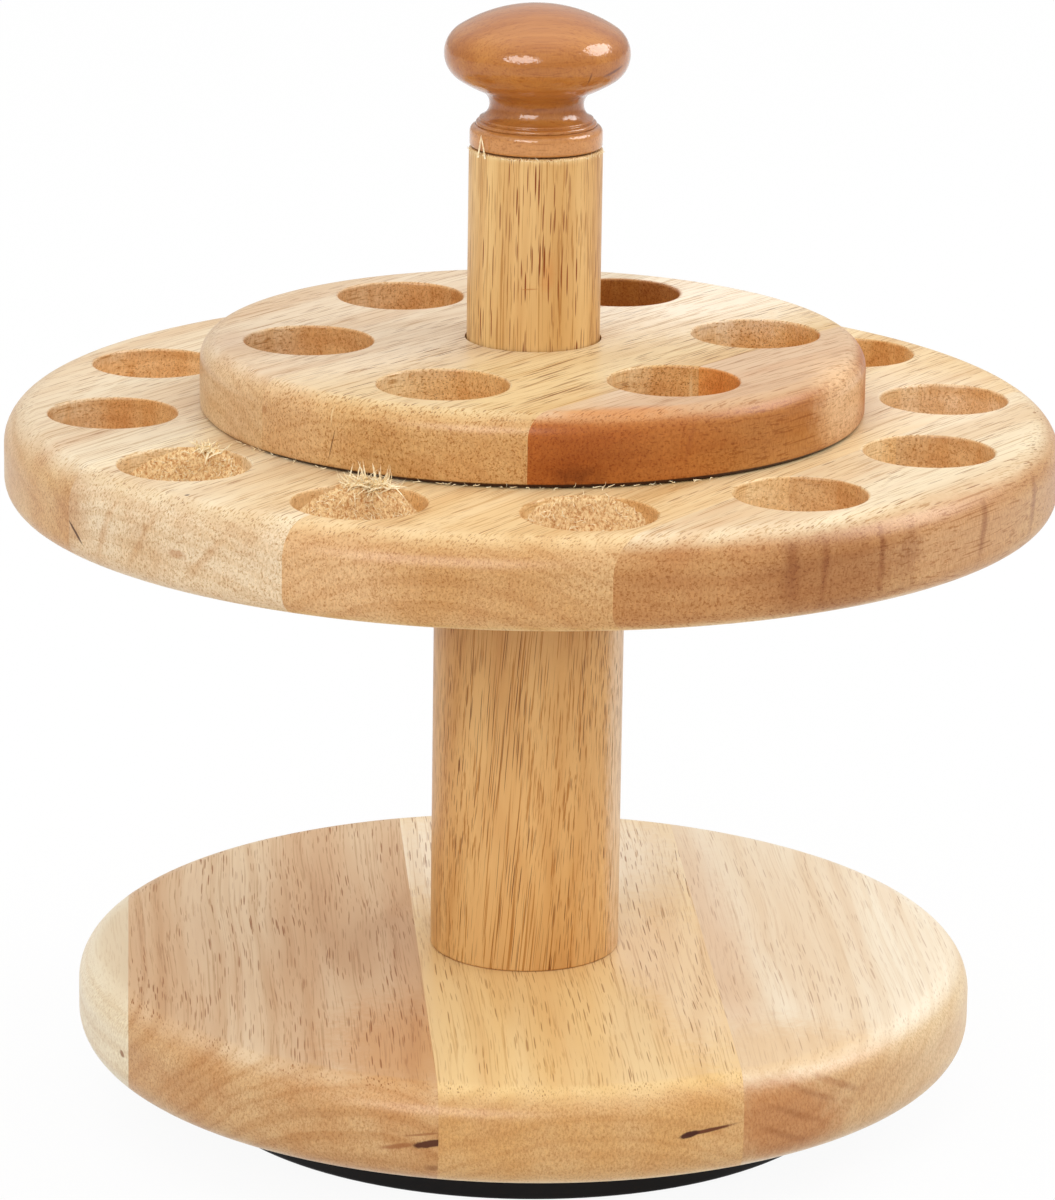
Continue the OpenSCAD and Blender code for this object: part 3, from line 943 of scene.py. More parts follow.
@dataclass(frozen=True)
class TornFinish:
    """Bare wood fibres where a drill tore the grain: pale straw tips over darker, rougher pits.

    Attributes:
        name: Name of the material.
        straw: Colour of the raised fibres.
        pit: Colour of the pits.
    """

    name: str = "torn_fibres"
    straw: Colour = srgb(248, 220, 168)
    pit: Colour = srgb(194, 138, 80)

    def material(self) -> bpy.types.Material:
        """Builds the node material.

        Returns:
            The material.
        """
        sheet = NodeSheet(bpy.data.materials.new(self.name))
        where = sheet.add("TexCoord").outputs["Object"]
        lump = sheet.noise(sheet.stretch(where, (1900.0, 1900.0, 1300.0)), detail=3.0, roughness=0.7)
        fine = sheet.noise(sheet.stretch(where, (2600.0, 2600.0, 1500.0)), detail=2.0)
        colour = sheet.mix(sheet.ramp(lump, 0.32, 0.62), self.pit, self.straw)
        colour = sheet.mix(sheet.ramp(fine, 0.5, 0.72, 0.0, 0.45), colour, TORN_TINT, "MULTIPLY")
        sheet.finish(
            Base_Color=colour, Roughness=sheet.ramp(lump, 0.3, 0.7, 0.75, 0.95),
            Normal=sheet.relief(fine, 0.6, 0.2), Specular_IOR_Level=0.2,
        )
        return sheet.owner


@dataclass
class Fibres:
    """A tuft of loose wood fibres, all sizes in mm.

    Attributes:
        name: Name of the piece.
        slot: The record's material slot; not used.
        roots: Where each fibre grows, and its direction.
        length: Shortest and longest fibre.
        seed: Seed of its random numbers.
        thick: Half thickness of a fibre as a share of its length.
        bends: How far the tips of the model fibres lean over.
        joints: Number of pieces along a fibre.
        taper: Thickness of each piece as a share of the one before.
        curl: How far a fibre winds to the sides, as a share of its bend.
        wind: How fast it winds, radians per piece.
        droop: How much height each piece loses as a share of the bend.
    """

    name: str
    slot: str
    roots: list[tuple[Vector, Vector]]
    length: Flat
    seed: int
    thick: float = 0.068
    bends: tuple[float, ...] = (0.2, 0.7, 1.2)
    joints: int = 4
    taper: float = 0.85
    curl: float = 0.12
    wind: float = 2.2
    droop: float = 0.15

    def strand(self, bend: float) -> bpy.types.Object:
        """Models one fibre of unit length that bends over and curls as it rises.

        Args:
            bend: How far the tip leans over.

        Returns:
            The fibre.
        """
        clear_selection()
        bpy.ops.mesh.primitive_circle_add(vertices=4, radius=self.thick, fill_type="NGON")
        fibre = bpy.context.object
        bpy.ops.object.mode_set(mode="EDIT")
        for step in range(1, self.joints + 1):
            over = bend * (2 * step - 1) / self.joints ** 2
            aside = self.curl * bend * math.sin(self.wind * step)
            rise = (1 - self.droop * bend * step) / self.joints
            bpy.ops.mesh.extrude_region_move(TRANSFORM_OT_translate={"value": (over, aside, rise)})
            bpy.ops.transform.resize(value=(self.taper, self.taper, 1.0))
        bpy.ops.mesh.merge(type="CENTER")
        bpy.ops.mesh.select_all(action="SELECT")
        bpy.ops.mesh.normals_make_consistent(inside=False)
        bpy.ops.object.mode_set(mode="OBJECT")
        return fibre

    def build(self, material: bpy.types.Material) -> None:
        """Copies the fibre to every root and joins the copies.

        Args:
            material: Their material.
        """
        chance = random.Random(self.seed)
        models = [self.strand(bend) for bend in self.bends]
        copies = []
        for root, direction in self.roots:
            model = chance.choice(models)
            copy = model.copy()
            copy.data = model.data.copy()
            bpy.context.scene.collection.objects.link(copy)
            turn = direction.to_track_quat("Z", "X").to_matrix().to_4x4()
            spin = Matrix.Rotation(chance.uniform(0, 2 * math.pi), 4, "Z")
            size = Matrix.Scale(chance.uniform(*self.length) * MM, 4)
            copy.matrix_world = Matrix.Translation(root * MM) @ turn @ spin @ size
            copies.append(copy)
        clear_selection()
        for copy in copies:
            copy.select_set(True)
        bpy.context.view_layer.objects.active = copies[0]
        bpy.ops.object.transform_apply(location=True, rotation=True, scale=True)
        bpy.ops.object.join()
        tuft = bpy.context.object
        for model in models:
            bpy.data.objects.remove(model)
        settle(tuft, self.name, material)


@dataclass
class TornHole:
    """A drilled hole of the lower tier whose back wall is torn, all sizes in mm.

    Attributes:
        name: Name of the pieces.
        angle: Place of the hole on its ring, degrees.
        peak: Direction of the highest torn spot from the hole's axis, degrees.
        spread: How far the torn wall reaches to the left and to the right of the peak, degrees.
        lump: How far the torn wall stands out.
        strands: Number of loose fibres on the rim.
        tuft: Middle of the tuft on the rim and how far it spreads, degrees.
        length: Shortest and longest fibre.
        nap: Number of short fibres that stand on the torn wall.
        seed: Seed of its random numbers.
        ring: Radius of the ring of holes.
        hole_r: Radius of the hole.
        top_z: Height of the tier's top face.
        depth: How far down the wall is torn.
        tuck: How far the patch starts behind the drilled wall.
        slices: Steps of the patch round the hole.
        levels: Steps of the patch down the hole.
        back: Thickness of the patch.
        mouth: Share of the spread that is torn at the top.
        widen: How much of the spread is added down to the full depth.
        sound: How far below the top the wall is still whole.
        fade: Height over which the torn wall then comes out.
        ebb: Share of the depth over which it ends below.
        swell: How fast it comes out from its sides; above 1 it is all out before the peak.
        lumps: Size of the coarse and of the fine lumps, with their share of the height.
        level: Height of the lumps that lies in the drilled wall, from 0 to 1.
        nap_mm: Shortest and longest fibre on the wall.
        nap_thick: Half thickness of these fibres as a share of their length.
    """

    name: str
    angle: float
    peak: float
    spread: Flat
    lump: float
    strands: int
    tuft: Flat
    length: Flat
    nap: int
    seed: int
    ring: float = 91.5
    hole_r: float = 14.0
    top_z: float = LOWER_TIER_TOP
    depth: float = 11.0
    tuck: float = 0.06
    slices: int = 220
    levels: int = 30
    back: float = 0.5
    mouth: float = 0.25
    widen: float = 1.6
    sound: float = 0.25
    fade: float = 0.8
    ebb: float = 0.25
    swell: float = 1.5
    lumps: tuple[Flat, ...] = ((3.4, 1.0), (1.0, 0.35))
    level: float = 0.15
    nap_mm: Flat = (0.7, 1.9)
    nap_thick: float = 0.075

    def __post_init__(self) -> None:
        """Works out the hole's axis."""
        self.centre = self.ring * outwards(self.angle)

    def share(self, point: Vector) -> float:
        """How strongly a point of the wall is torn.

        Args:
            point: A point on the wall, in metres.

        Returns:
            From 0, smooth, to 1.
        """
        offset = point / MM - self.centre
        turn = (math.degrees(math.atan2(offset.y, offset.x)) - self.peak + 180) % 360 - 180
        down = (self.top_z - offset.z) / self.depth
        room = (self.spread[0] if turn > 0 else self.spread[1]) * (self.mouth + self.widen * max(down, 0.0))
        side = max(0.0, 1 - abs(turn) / room)
        rim = min(1.0, max(0.0, (self.top_z - self.sound - offset.z) / self.fade))
        foot = min(1.0, max(0.0, (1 - down) / self.ebb))
        return min(1.0, self.swell * side) * rim * foot

    def build_wall(self, material: bpy.types.Material) -> None:
        """Makes the torn patch of the wall.

        Args:
            material: Its material.
        """
        clear_selection()
        middle = self.centre + Vector((0.0, 0.0, self.top_z - self.depth / 2))
        bpy.ops.mesh.primitive_cylinder_add(
            vertices=self.slices, radius=(self.hole_r + self.tuck) * MM, depth=self.depth * MM,
            end_fill_type="NOTHING", location=middle * MM,
        )
        wall = bpy.context.object
        bpy.ops.object.transform_apply(location=True, rotation=True, scale=True)
        bpy.ops.object.mode_set(mode="EDIT")
        for level in range(1, self.levels):
            bpy.ops.mesh.select_all(action="SELECT")
            height = (self.top_z - self.depth * level / self.levels) * MM
            bpy.ops.mesh.bisect(plane_co=(0.0, 0.0, height), plane_no=(0.0, 0.0, 1.0))
        bpy.ops.mesh.select_all(action="DESELECT")
        bpy.ops.object.mode_set(mode="OBJECT")
        shares = [self.share(vertex.co) for vertex in wall.data.vertices]
        for face in wall.data.polygons:
            face.select = all(shares[index] <= 0.0 for index in face.vertices)
        bpy.ops.object.mode_set(mode="EDIT")
        bpy.ops.mesh.delete(type="FACE")
        bpy.ops.object.mode_set(mode="OBJECT")
        group = wall.vertex_groups.new(name="torn")
        for vertex in wall.data.vertices:
            group.add([vertex.index], self.share(vertex.co), "REPLACE")
        for size, part in self.lumps:
            cloud = bpy.data.textures.new(f"{self.name}_{size}", "CLOUDS")
            cloud.noise_scale = size * MM
            push = wall.modifiers.new("push", "DISPLACE")
            push.texture = cloud
            push.texture_coords = "LOCAL"
            push.vertex_group = group.name
            push.strength = -(part * self.lump) * MM
            push.mid_level = self.level
            bpy.ops.object.modifier_apply(modifier=push.name)
        back = wall.modifiers.new("back", "SOLIDIFY")
        back.thickness = self.back * MM
        back.offset = 1.0
        bpy.ops.object.modifier_apply(modifier=back.name)
        bpy.ops.object.shade_smooth_by_angle(angle=math.radians(50))
        settle(wall, f"{self.name}_wall", material)

    def build(self, torn: bpy.types.Material, loose: bpy.types.Material) -> None:
        """Makes the torn wall and the loose fibres on its rim.

        Args:
            torn: Material of the wall.
            loose: Material of the fibres.
        """
        self.build_wall(torn)
        chance = random.Random(self.seed)
        roots = []
        for _ in range(self.strands):
            away = outwards(self.tuft[0] + max(-2.0, min(2.0, chance.gauss(0, 1))) * self.tuft[1])
            root = self.centre + away * (self.hole_r + chance.uniform(-0.5, 0.5))
            root.z = self.top_z - 0.3
            lean = -away * chance.uniform(-0.4, 1.0) + Vector((chance.gauss(0, 1.0), chance.gauss(0, 0.4), 0.0))
            lean.z = chance.uniform(-0.2, 1.1)
            roots.append((root, lean.normalized()))
        Fibres(f"{self.name}_fibres", "lower_tier_wood", roots, self.length, self.seed).build(loose)
        self.build_nap(loose)

    def build_nap(self, material: bpy.types.Material) -> None:
        """Sets short fibres all over the torn wall.

        Args:
            material: Their material.
        """
        chance = random.Random(self.seed + 100)
        roots = []
        while len(roots) < self.nap:
            away = outwards(self.peak + chance.uniform(-1.4 * self.spread[1], 1.4 * self.spread[0]))
            spot = self.centre + away * self.hole_r
            spot.z = self.top_z - chance.uniform(0.4, self.depth)
            share = self.share(spot * MM)
            if share < 0.3:
                continue
            root = spot - away * (0.35 * self.lump * share)
            side = Vector((-away.y, away.x, 0.0)) * chance.gauss(0, 0.8)
            way = side + Vector((0.0, 0.0, chance.gauss(0.1, 0.6))) - away * chance.uniform(0.2, 0.9)
            roots.append((root, way.normalized()))
        nap = Fibres(f"{self.name}_nap", "lower_tier_wood", roots, self.nap_mm, self.seed + 100, self.nap_thick)
        nap.build(material)


@dataclass
class FrayedEdge:
    """Short fibres left by the saw along a round edge, all sizes in mm.

    Attributes:
        name: Name of the piece.
        slot: The record's material slot.
        radius: Radius of the edge.
        height: Height of the edge.
        start: Angle where the fibres start, degrees.
        end: Angle where they end, degrees.
        count: Number of fibres.
        length: Shortest and longest fibre.
        rise: How steeply they stand, from -1 to 1.
        seed: Seed of its random numbers.
    """

    name: str
    slot: str
    radius: float
    height: float
    start: float
    end: float
    count: int
    length: Flat
    rise: float
    seed: int

    def build(self, material: bpy.types.Material) -> None:
        """Sets the fibres along the edge.

        Args:
            material: Their material.
        """
        chance = random.Random(self.seed)
        roots = []
        for _ in range(self.count):
            away = outwards(chance.uniform(self.start, self.end))
            tangent = Vector((-away.y, away.x, 0.0)) * chance.gauss(0.0, 0.8)
            root = away * (self.radius - 0.1) + Vector((0.0, 0.0, self.height))
            way = away * chance.uniform(0.2, 0.7) + tangent
            way.z = self.rise * chance.uniform(0.2, 1.0)
            roots.append((root, way.normalized()))
        Fibres(self.name, self.slot, roots, self.length, self.seed).build(material)


@dataclass
class Swivel:
    """The bearing under the base.

    Attributes:
        black: Plastic of the plate and the foot.
        nylon: Plastic of the ball cage and the washer.
        rubber: Rubber of the pads.
        steel: Steel of the balls, the rivet and all screws.
    """

    black: MouldedPlastic = MouldedPlastic("black_plastic", (0.007, 0.0055, 0.0055), (0.010, 0.008, 0.0075))
    nylon: MouldedPlastic = MouldedPlastic("natural_nylon", (0.78, 0.75, 0.66), (0.7, 0.67, 0.58), 0.4)
    rubber: MouldedPlastic = MouldedPlastic("black_rubber", (0.05, 0.05, 0.05), (0.07, 0.07, 0.068), 0.75, 0.2)
    steel: PlatedSteel = PlatedSteel()

    def build(self) -> None:
        """Dresses the plate, foot, bearing, screws and pads."""
        dress(["swivel_plate", "swivel_foot"], self.black.material())
        dress(["ball_cage", "thrust_washer"], self.nylon.material())
        dress(["foot_pads"], self.rubber.material())
        dress(
            ["knob_screw", "tier_screws", "post_screw", "plate_screws", "bearing_balls", "pivot_rivet"],
            self.steel.material(),
        )


@dataclass
class Studio:
    """Floor, lamps, sky and camera.

    Attributes:
        eye: Place of the camera, mm.
        look_down: How far it looks down, degrees.
        look_left: How far it looks to the left of the axis, degrees.
        roll: Its turn about its own axis, degrees.
        lens: Focal length on a 36 mm sensor, mm.
        horizon: Strength of the sky at the horizon.
        zenith: Strength of the sky overhead.
        glow: Extra strength of a soft bright patch straight overhead.
        floor_m: Width of the floor, m.
        floor_grey: How pale the floor is where it catches light and shadow.
        floor_white: Share of plain white that the camera sees on it.
        lamp_m: Distance of the lamps, m.
        aim_z: Height that the lamps point at, mm.
    """

    eye: Point = (0.0, -1228.57, 458.96)
    look_down: float = 15.697
    look_left: float = 0.017
    roll: float = 0.859
    lens: float = 173.63
    horizon: float = 0.5
    zenith: float = 1.27
    glow: float = 0.5
    floor_m: float = 9.0
    floor_grey: float = 0.78
    floor_white: float = 0.94
    lamp_m: float = 1.5
    aim_z: float = 235.0

    def build(self) -> None:
        """Sets up the whole studio."""
        bpy.context.scene.view_settings.view_transform = "Standard"
        self.floor()
        self.light_sky()
        self.softbox("front_left_softbox", (-0.25, -0.87, 0.43), (0.52, 0.32), 4.5, Seen.LIGHT)
        self.softbox("front_left_card", (-0.31, -0.85, 0.42), (1.1, 0.72), 17.5, Seen.SHINE)
        self.softbox("right_softbox", (0.85, 0.14, 0.56), (0.62, 0.46), 5.0, Seen.LIGHT)
        self.softbox("right_card", (0.83, 0.10, 0.55), (1.0, 0.82), 17.0, Seen.SHINE)
        self.camera()

    def floor(self) -> None:
        """Lays a pale floor that the camera sees as white, shadow included."""
        clear_selection()
        bpy.ops.mesh.primitive_plane_add(size=self.floor_m)
        floor = bpy.context.object
        floor.name = "studio_floor"
        sheet = NodeSheet(bpy.data.materials.new("studio_white"))
        matt = sheet.add("BsdfDiffuse")
        sheet.feed(matt.inputs["Color"], (self.floor_grey,) * 3)
        glow = sheet.add("Emission")
        path = sheet.add("LightPath")
        bent = sheet.math("MAXIMUM", path.outputs["Is Glossy Ray"], path.outputs["Is Transmission Ray"])
        seen = sheet.math("MAXIMUM", path.outputs["Is Camera Ray"], bent)
        both = sheet.add("MixShader")
        sheet.feed(both.inputs[0], sheet.share(seen, self.floor_white))
        sheet.feed(both.inputs[1], matt.outputs[0])
        sheet.feed(both.inputs[2], glow.outputs[0])
        output = sheet.add("OutputMaterial")
        sheet.feed(output.inputs["Surface"], both.outputs[0])
        floor.data.materials.append(sheet.owner)

    def light_sky(self) -> None:
        """Makes a pale sky, brighter overhead, that shows as white."""
        sheet = NodeSheet(bpy.data.worlds.new("studio_sky"))
        bpy.context.scene.world = sheet.owner
        split = sheet.add("SeparateXYZ")
        sheet.feed(split.inputs[0], sheet.add("TexCoord").outputs["Generated"])
        rise = sheet.ramp(split.outputs["Z"], 0.0, 1.0, self.horizon, self.zenith, "LINEAR")
        patch = sheet.ramp(split.outputs["Z"], 0.7, 1.0, 0.0, self.glow)
        lit, white = sheet.add("Background"), sheet.add("Background")
        for side in (lit, white):
            sheet.feed(side.inputs["Color"], (1.0, 1.0, 1.0))
        sheet.feed(lit.inputs["Strength"], sheet.math("ADD", rise, patch))
        both = sheet.add("MixShader")
        sheet.feed(both.inputs[0], sheet.add("LightPath").outputs["Is Camera Ray"])
        sheet.feed(both.inputs[1], lit.outputs[0])
        sheet.feed(both.inputs[2], white.outputs[0])
        sheet.feed(sheet.add("OutputWorld").inputs["Surface"], both.outputs[0])

    def softbox(self, name: str, towards: Point, size: Flat, watts: float, seen: Seen) -> None:
        """Hangs one soft lamp that points at the knob.

        Args:
            name: Name of the lamp.
            towards: Direction from the knob to the lamp.
            size: Width and height, m.
            watts: Power.
            seen: Whether it lights the wood or shows in the lacquer.
        """
        lamp = bpy.data.lights.new(name, "AREA")
        lamp.shape = "ELLIPSE"
        lamp.size, lamp.size_y = size
        lamp.energy = watts
        holder = bpy.data.objects.new(name, lamp)
        bpy.context.scene.collection.objects.link(holder)
        holder.visible_diffuse = seen is Seen.LIGHT
        holder.visible_glossy = seen is Seen.SHINE
        aim = Vector((0.0, 0.0, self.aim_z * MM))
        ray = Vector(towards).normalized()
        holder.location = aim + ray * self.lamp_m
        holder.rotation_euler = ray.to_track_quat("Z", "Y").to_euler()

    def camera(self) -> None:
        """Puts the camera where the photograph was taken."""
        data = bpy.data.cameras.new("photo_camera")
        data.lens = self.lens
        data.sensor_width = 36.0
        data.sensor_fit = "AUTO"
        data.clip_start = 0.05
        data.clip_end = 50.0
        camera = bpy.data.objects.new("photo_camera", data)
        bpy.context.scene.collection.objects.link(camera)
        tilt = Matrix.Rotation(math.radians(90.0 - self.look_down), 4, "X")
        pan = Matrix.Rotation(math.radians(self.look_left), 4, "Z")
        roll = Matrix.Rotation(math.radians(self.roll), 4, "Z")
        camera.matrix_world = Matrix.Translation(Vector(self.eye) * MM) @ pan @ tilt @ roll
        bpy.context.scene.camera = camera


def upper_tier() -> StavedDisc:
    """The small drilled disc.

    Returns:
        The disc with the finish of each board.
    """
    disc = {"grain_deg": 52.0, "rim_r": UPPER_TIER_R}
    crack = Mark((-41.6, -59.4, 163.5), (0.22, 2.0, 4.0), (0, 14, -35), srgb(96, 56, 26), 0.85, 0.5)
    crack_top = Mark((-41.8, -59.3, 169.8), (0.25, 2.0, 3.6), (0, 0, -35), srgb(232, 206, 156), 0.7, 0.5)
    smudge = Mark((-56.8, -45.0, 167.4), (2.2, 2.0, 1.1), (0, 0, 0), srgb(168, 108, 58), 0.5, 0.9)
    # painted shade: the wall of the back hole behind the upper post is tinted dark brown where the post shades it
    shade = Mark((18.75, 45.27, 166.0), (17.0, 17.0, 16.0), (0, 0, 0), srgb(176, 114, 50), 0.95, 0.03, 0.93)
    cream = Mark((-25.7, -5.3, 176.0), (90.0, 34.0, 9.0), (0, 0, 52), srgb(226, 207, 181), 0.85, 0.3, 0.2)
    far_cream = Mark((34.0, 44.0, 176.0), (76.0, 48.0, 12.0), (0, 0, 52), srgb(243, 228, 205), 0.95, 0.4, 0.3)
    glue = Mark((33.9, -25.5, 166.0), (0.22, 1.5, 8.0), (0, 0, 52), srgb(238, 212, 160), 0.5, 0.5)
    brown = Mark((10.0, -71.5, 163.0), (28.0, 8.0, 11.0), (0, 0, 8), srgb(148, 78, 28), 0.6, 0.8, 0.1)
    pale_end = Mark((67.0, -27.0, 166.0), (17.0, 22.0, 13.0), (0, 0, 0), srgb(234, 194, 148), 0.92, 0.6, 0.25)
    dark_end = Mark((9.0, -72.0, 160.5), (9.0, 5.0, 3.4), (0, 0, 0), srgb(104, 48, 16), 0.55, 1.0, 0.1)
    arc_line = Mark((32.8, -64.7, 166.0), (0.8, 2.0, 6.0), (0, 14, 27), srgb(160, 92, 44), 0.4, 0.4)
    # painted shadow: a dark band at the foot of the upper tier's rim, in the gap over the lower tier
    painted_gap_shadow = Mark((12.0, -52.0, 157.7), (84.0, 70.0, 1.3), (0, 0, 0), srgb(54, 24, 10), 0.97, 0.1, 0.8)
    left_pale = Mark((-64.6, -32.8, 166.0), (22.0, 22.0, 16.0), (0, 0, 0), srgb(222, 189, 147), 0.7, 0.5, 0.1)
    left_rim = Mark((-53.0, -49.0, 165.0), (23.0, 9.0, 14.0), (0, 0, -43), srgb(220, 182, 136), 0.6, 0.4, 0.3)
    front_edge = Mark((18.0, -67.0, 174.0), (24.0, 5.5, 4.0), (0, 0, 15), srgb(206, 142, 82), 0.85, 0.6, 0.3)
    left_edge = Mark((-65.0, -8.0, 174.0), (14.0, 8.0, 4.0), (0, 0, 85), srgb(206, 172, 140), 0.5, 0.5, 0.3)
    fibre_lines = tuple(
        Mark((x, y, 173.3), (reach, 0.45, 2.0), (0, 0, 56), srgb(122, 72, 28), strength + 0.15, 0.15, 0.25)
        for x, y, reach, strength in (
            (5.4, -52.1, 17.3, 0.8), (1.7, -55.9, 12.0, 0.6), (5.5, -25.4, 15.0, 0.7), (4.0, -34.3, 12.2, 0.65),
            (-6.6, -18.4, 8.7, 0.55), (3.7, -38.5, 5.6, 0.6), (9.6, -47.9, 8.0, 0.6), (-10.3, -16.8, 5.4, 0.5),
            (7.0, -43.0, 9.0, 0.55), (0.0, -44.5, 7.0, 0.5), (10.0, -36.0, 8.0, 0.5), (-3.0, -27.0, 7.0, 0.5))
    )
    return StavedDisc("upper_tier", [
        WoodFinish("upper_tier_board_1", srgb(226, 209, 182), srgb(211, 182, 146), srgb(198, 158, 118),
                   end_tone=(0.92, 0.72, 0.5), rim_tone=(1.05, 1.12, 1.16), hole_tone=(1.1, 1.04, 0.92),
                   pith=(40.0, 130.0), seed=4.0,
                   tints=(shade, left_pale, left_edge), **disc),
        WoodFinish("upper_tier_board_2", srgb(224, 198, 150), srgb(209, 173, 119), srgb(198, 152, 100),
                   end_tone=(0.94, 0.8, 0.64), rim_tone=(0.98, 0.94, 0.92), hole_tone=(1.19, 1.19, 1.2),
                   pith=(-10.0, 120.0), pore_depth=1.0,
                   pore=srgb(116, 66, 26), line_depth=1.0, seed=5.0,
                   tints=(cream, far_cream, shade, left_pale, left_rim, left_edge),
                   marks=(*fibre_lines, crack, crack_top, smudge, glue, painted_gap_shadow), **disc),
        WoodFinish("upper_tier_board_3", srgb(220, 196, 164), srgb(208, 172, 134), srgb(196, 142, 94),
                   end_tone=(1.0, 0.64, 0.30), rim_tone=(0.72, 0.44, 0.18), pith=(-60.0, 110.0), seed=6.0,
                   tints=(brown, pale_end, dark_end, front_edge),
                   marks=(arc_line, painted_gap_shadow), **disc),
    ])


def lower_tier() -> StavedDisc:
    """The large drilled disc.

    Returns:
        The disc with the finish of each board.
    """
    disc = {"grain_deg": 56.0, "rim_r": LOWER_TIER_R}
    crack = Mark((-94.6, -65.3, 145.2), (4.6, 2.2, 0.45), (0, 35, -55), srgb(84, 48, 24), 0.95, 0.3, 0.5)
    arcs = tuple(
        Mark((x, y, 148.0), (1.6, 4.0, 12.0), (0, lean, turn), srgb(196, 148, 98), 0.45, 0.8, 0.1)
        for x, y, lean, turn in ((-88.0, -74.0, 22, -50), (-80.0, -82.6, 32, -44), (-66.0, -94.2, 44, -35))
    )
    stain = Mark((-72.4, -89.4, 147.4), (3.6, 3.0, 1.2), (0, 0, -40), srgb(172, 112, 60), 0.55, 1.0)
    dot = Mark((-70.4, -81.3, 157.8), (0.9, 0.6, 0.6), (0, 0, 56), srgb(70, 42, 24), 0.9, 0.5)
    left_brown = Mark((-96.8, -62.1, 150.0), (12.0, 12.0, 10.0), (0, 0, 32), srgb(190, 140, 92), 0.6, 0.8, 0.1)
    glue = Mark((16.4, -113.8, 150.0), (0.3, 2.0, 6.5), (0, 0, 8), srgb(242, 212, 156), 0.7, 0.4)
    brown = Mark((62.0, -96.7, 147.5), (29.0, 8.0, 13.5), (0, 0, 33), srgb(156, 100, 54), 0.75, 0.6, 0.25)
    pale_rim = Mark((-43.0, -106.6, 149.0), (27.0, 9.0, 15.0), (0, 0, -22), srgb(228, 188, 142), 0.5, 0.5, 0.2)
    right_rim = Mark((92.0, -69.0, 150.0), (40.0, 9.0, 15.0), (0, 0, 53), srgb(196, 149, 104), 0.75, 0.6, 0.3)
    pale_hole = Mark((90.7, 11.9, 150.0), (17.0, 17.0, 12.0), (0, 0, 0), srgb(236, 206, 166), 0.92, 0.05, 0.9)
    left_hole = Mark((-84.5, 35.0, 150.0), (17.0, 17.0, 12.0), (0, 0, 0), srgb(236, 196, 142), 0.88, 0.05, 0.9)
    side_cream = Mark((84.0, 10.0, 159.0), (30.0, 46.0, 5.0), (0, 0, 0), srgb(238, 219, 190), 0.7, 0.4, 0.2)
    bands = tuple(
        Mark((x, y, 150.5), (width, 2.5, 13.0), (0, lean, turn), srgb(140, 82, 42), strength, 0.6, 0.1)
        for x, y, width, lean, turn, strength in (
            (53.0, -102.0, 3.0, 2, 28, 0.65), (60.0, -98.1, 1.4, 6, 31, 0.7), (72.0, -89.7, 1.3, 5, 39, 0.65),
            (78.0, -84.5, 4.5, 6, 43, 0.35), (94.5, -65.5, 1.9, 14, 55, 0.6), (106.6, -43.2, 2.2, 18, 68, 0.55))
    )
    return StavedDisc("lower_tier", [
        WoodFinish("lower_tier_board_1", srgb(228, 212, 182), srgb(216, 186, 147), srgb(204, 166, 128),
                   end_tone=(0.88, 0.68, 0.46), rim_tone=(1.0, 1.0, 1.0), pith=(80.0, 90.0), seed=7.0,
                   tints=(left_brown, left_hole), **disc),
        WoodFinish("lower_tier_board_2", srgb(231, 213, 179), srgb(221, 194, 152), srgb(206, 168, 124),
                   end_tone=(0.96, 0.93, 0.9), rim_tone=(1.0, 0.98, 1.01), pith=(16.0, 60.0), seed=8.0,
                   tints=(left_brown, *arcs), marks=(crack, stain, dot), **disc),
        WoodFinish("lower_tier_board_3", srgb(233, 208, 164), srgb(221, 187, 134), srgb(206, 160, 108),
                   end_tone=(0.9, 0.8, 0.7), rim_tone=(0.86, 0.75, 0.65), pith=(-47.0, 112.0), ring_depth=0.35,
                   seed=9.0, tints=(side_cream, pale_rim, pale_hole), **disc),
        WoodFinish("lower_tier_board_4", srgb(230, 212, 178), srgb(218, 188, 146), srgb(202, 154, 108),
                   end_tone=(0.84, 0.68, 0.52), rim_tone=(0.75, 0.54, 0.36), pith=(-96.0, 190.0), seed=10.0,
                   tints=(side_cream, pale_hole, right_rim, brown, *bands), marks=(glue,), **disc),
    ])


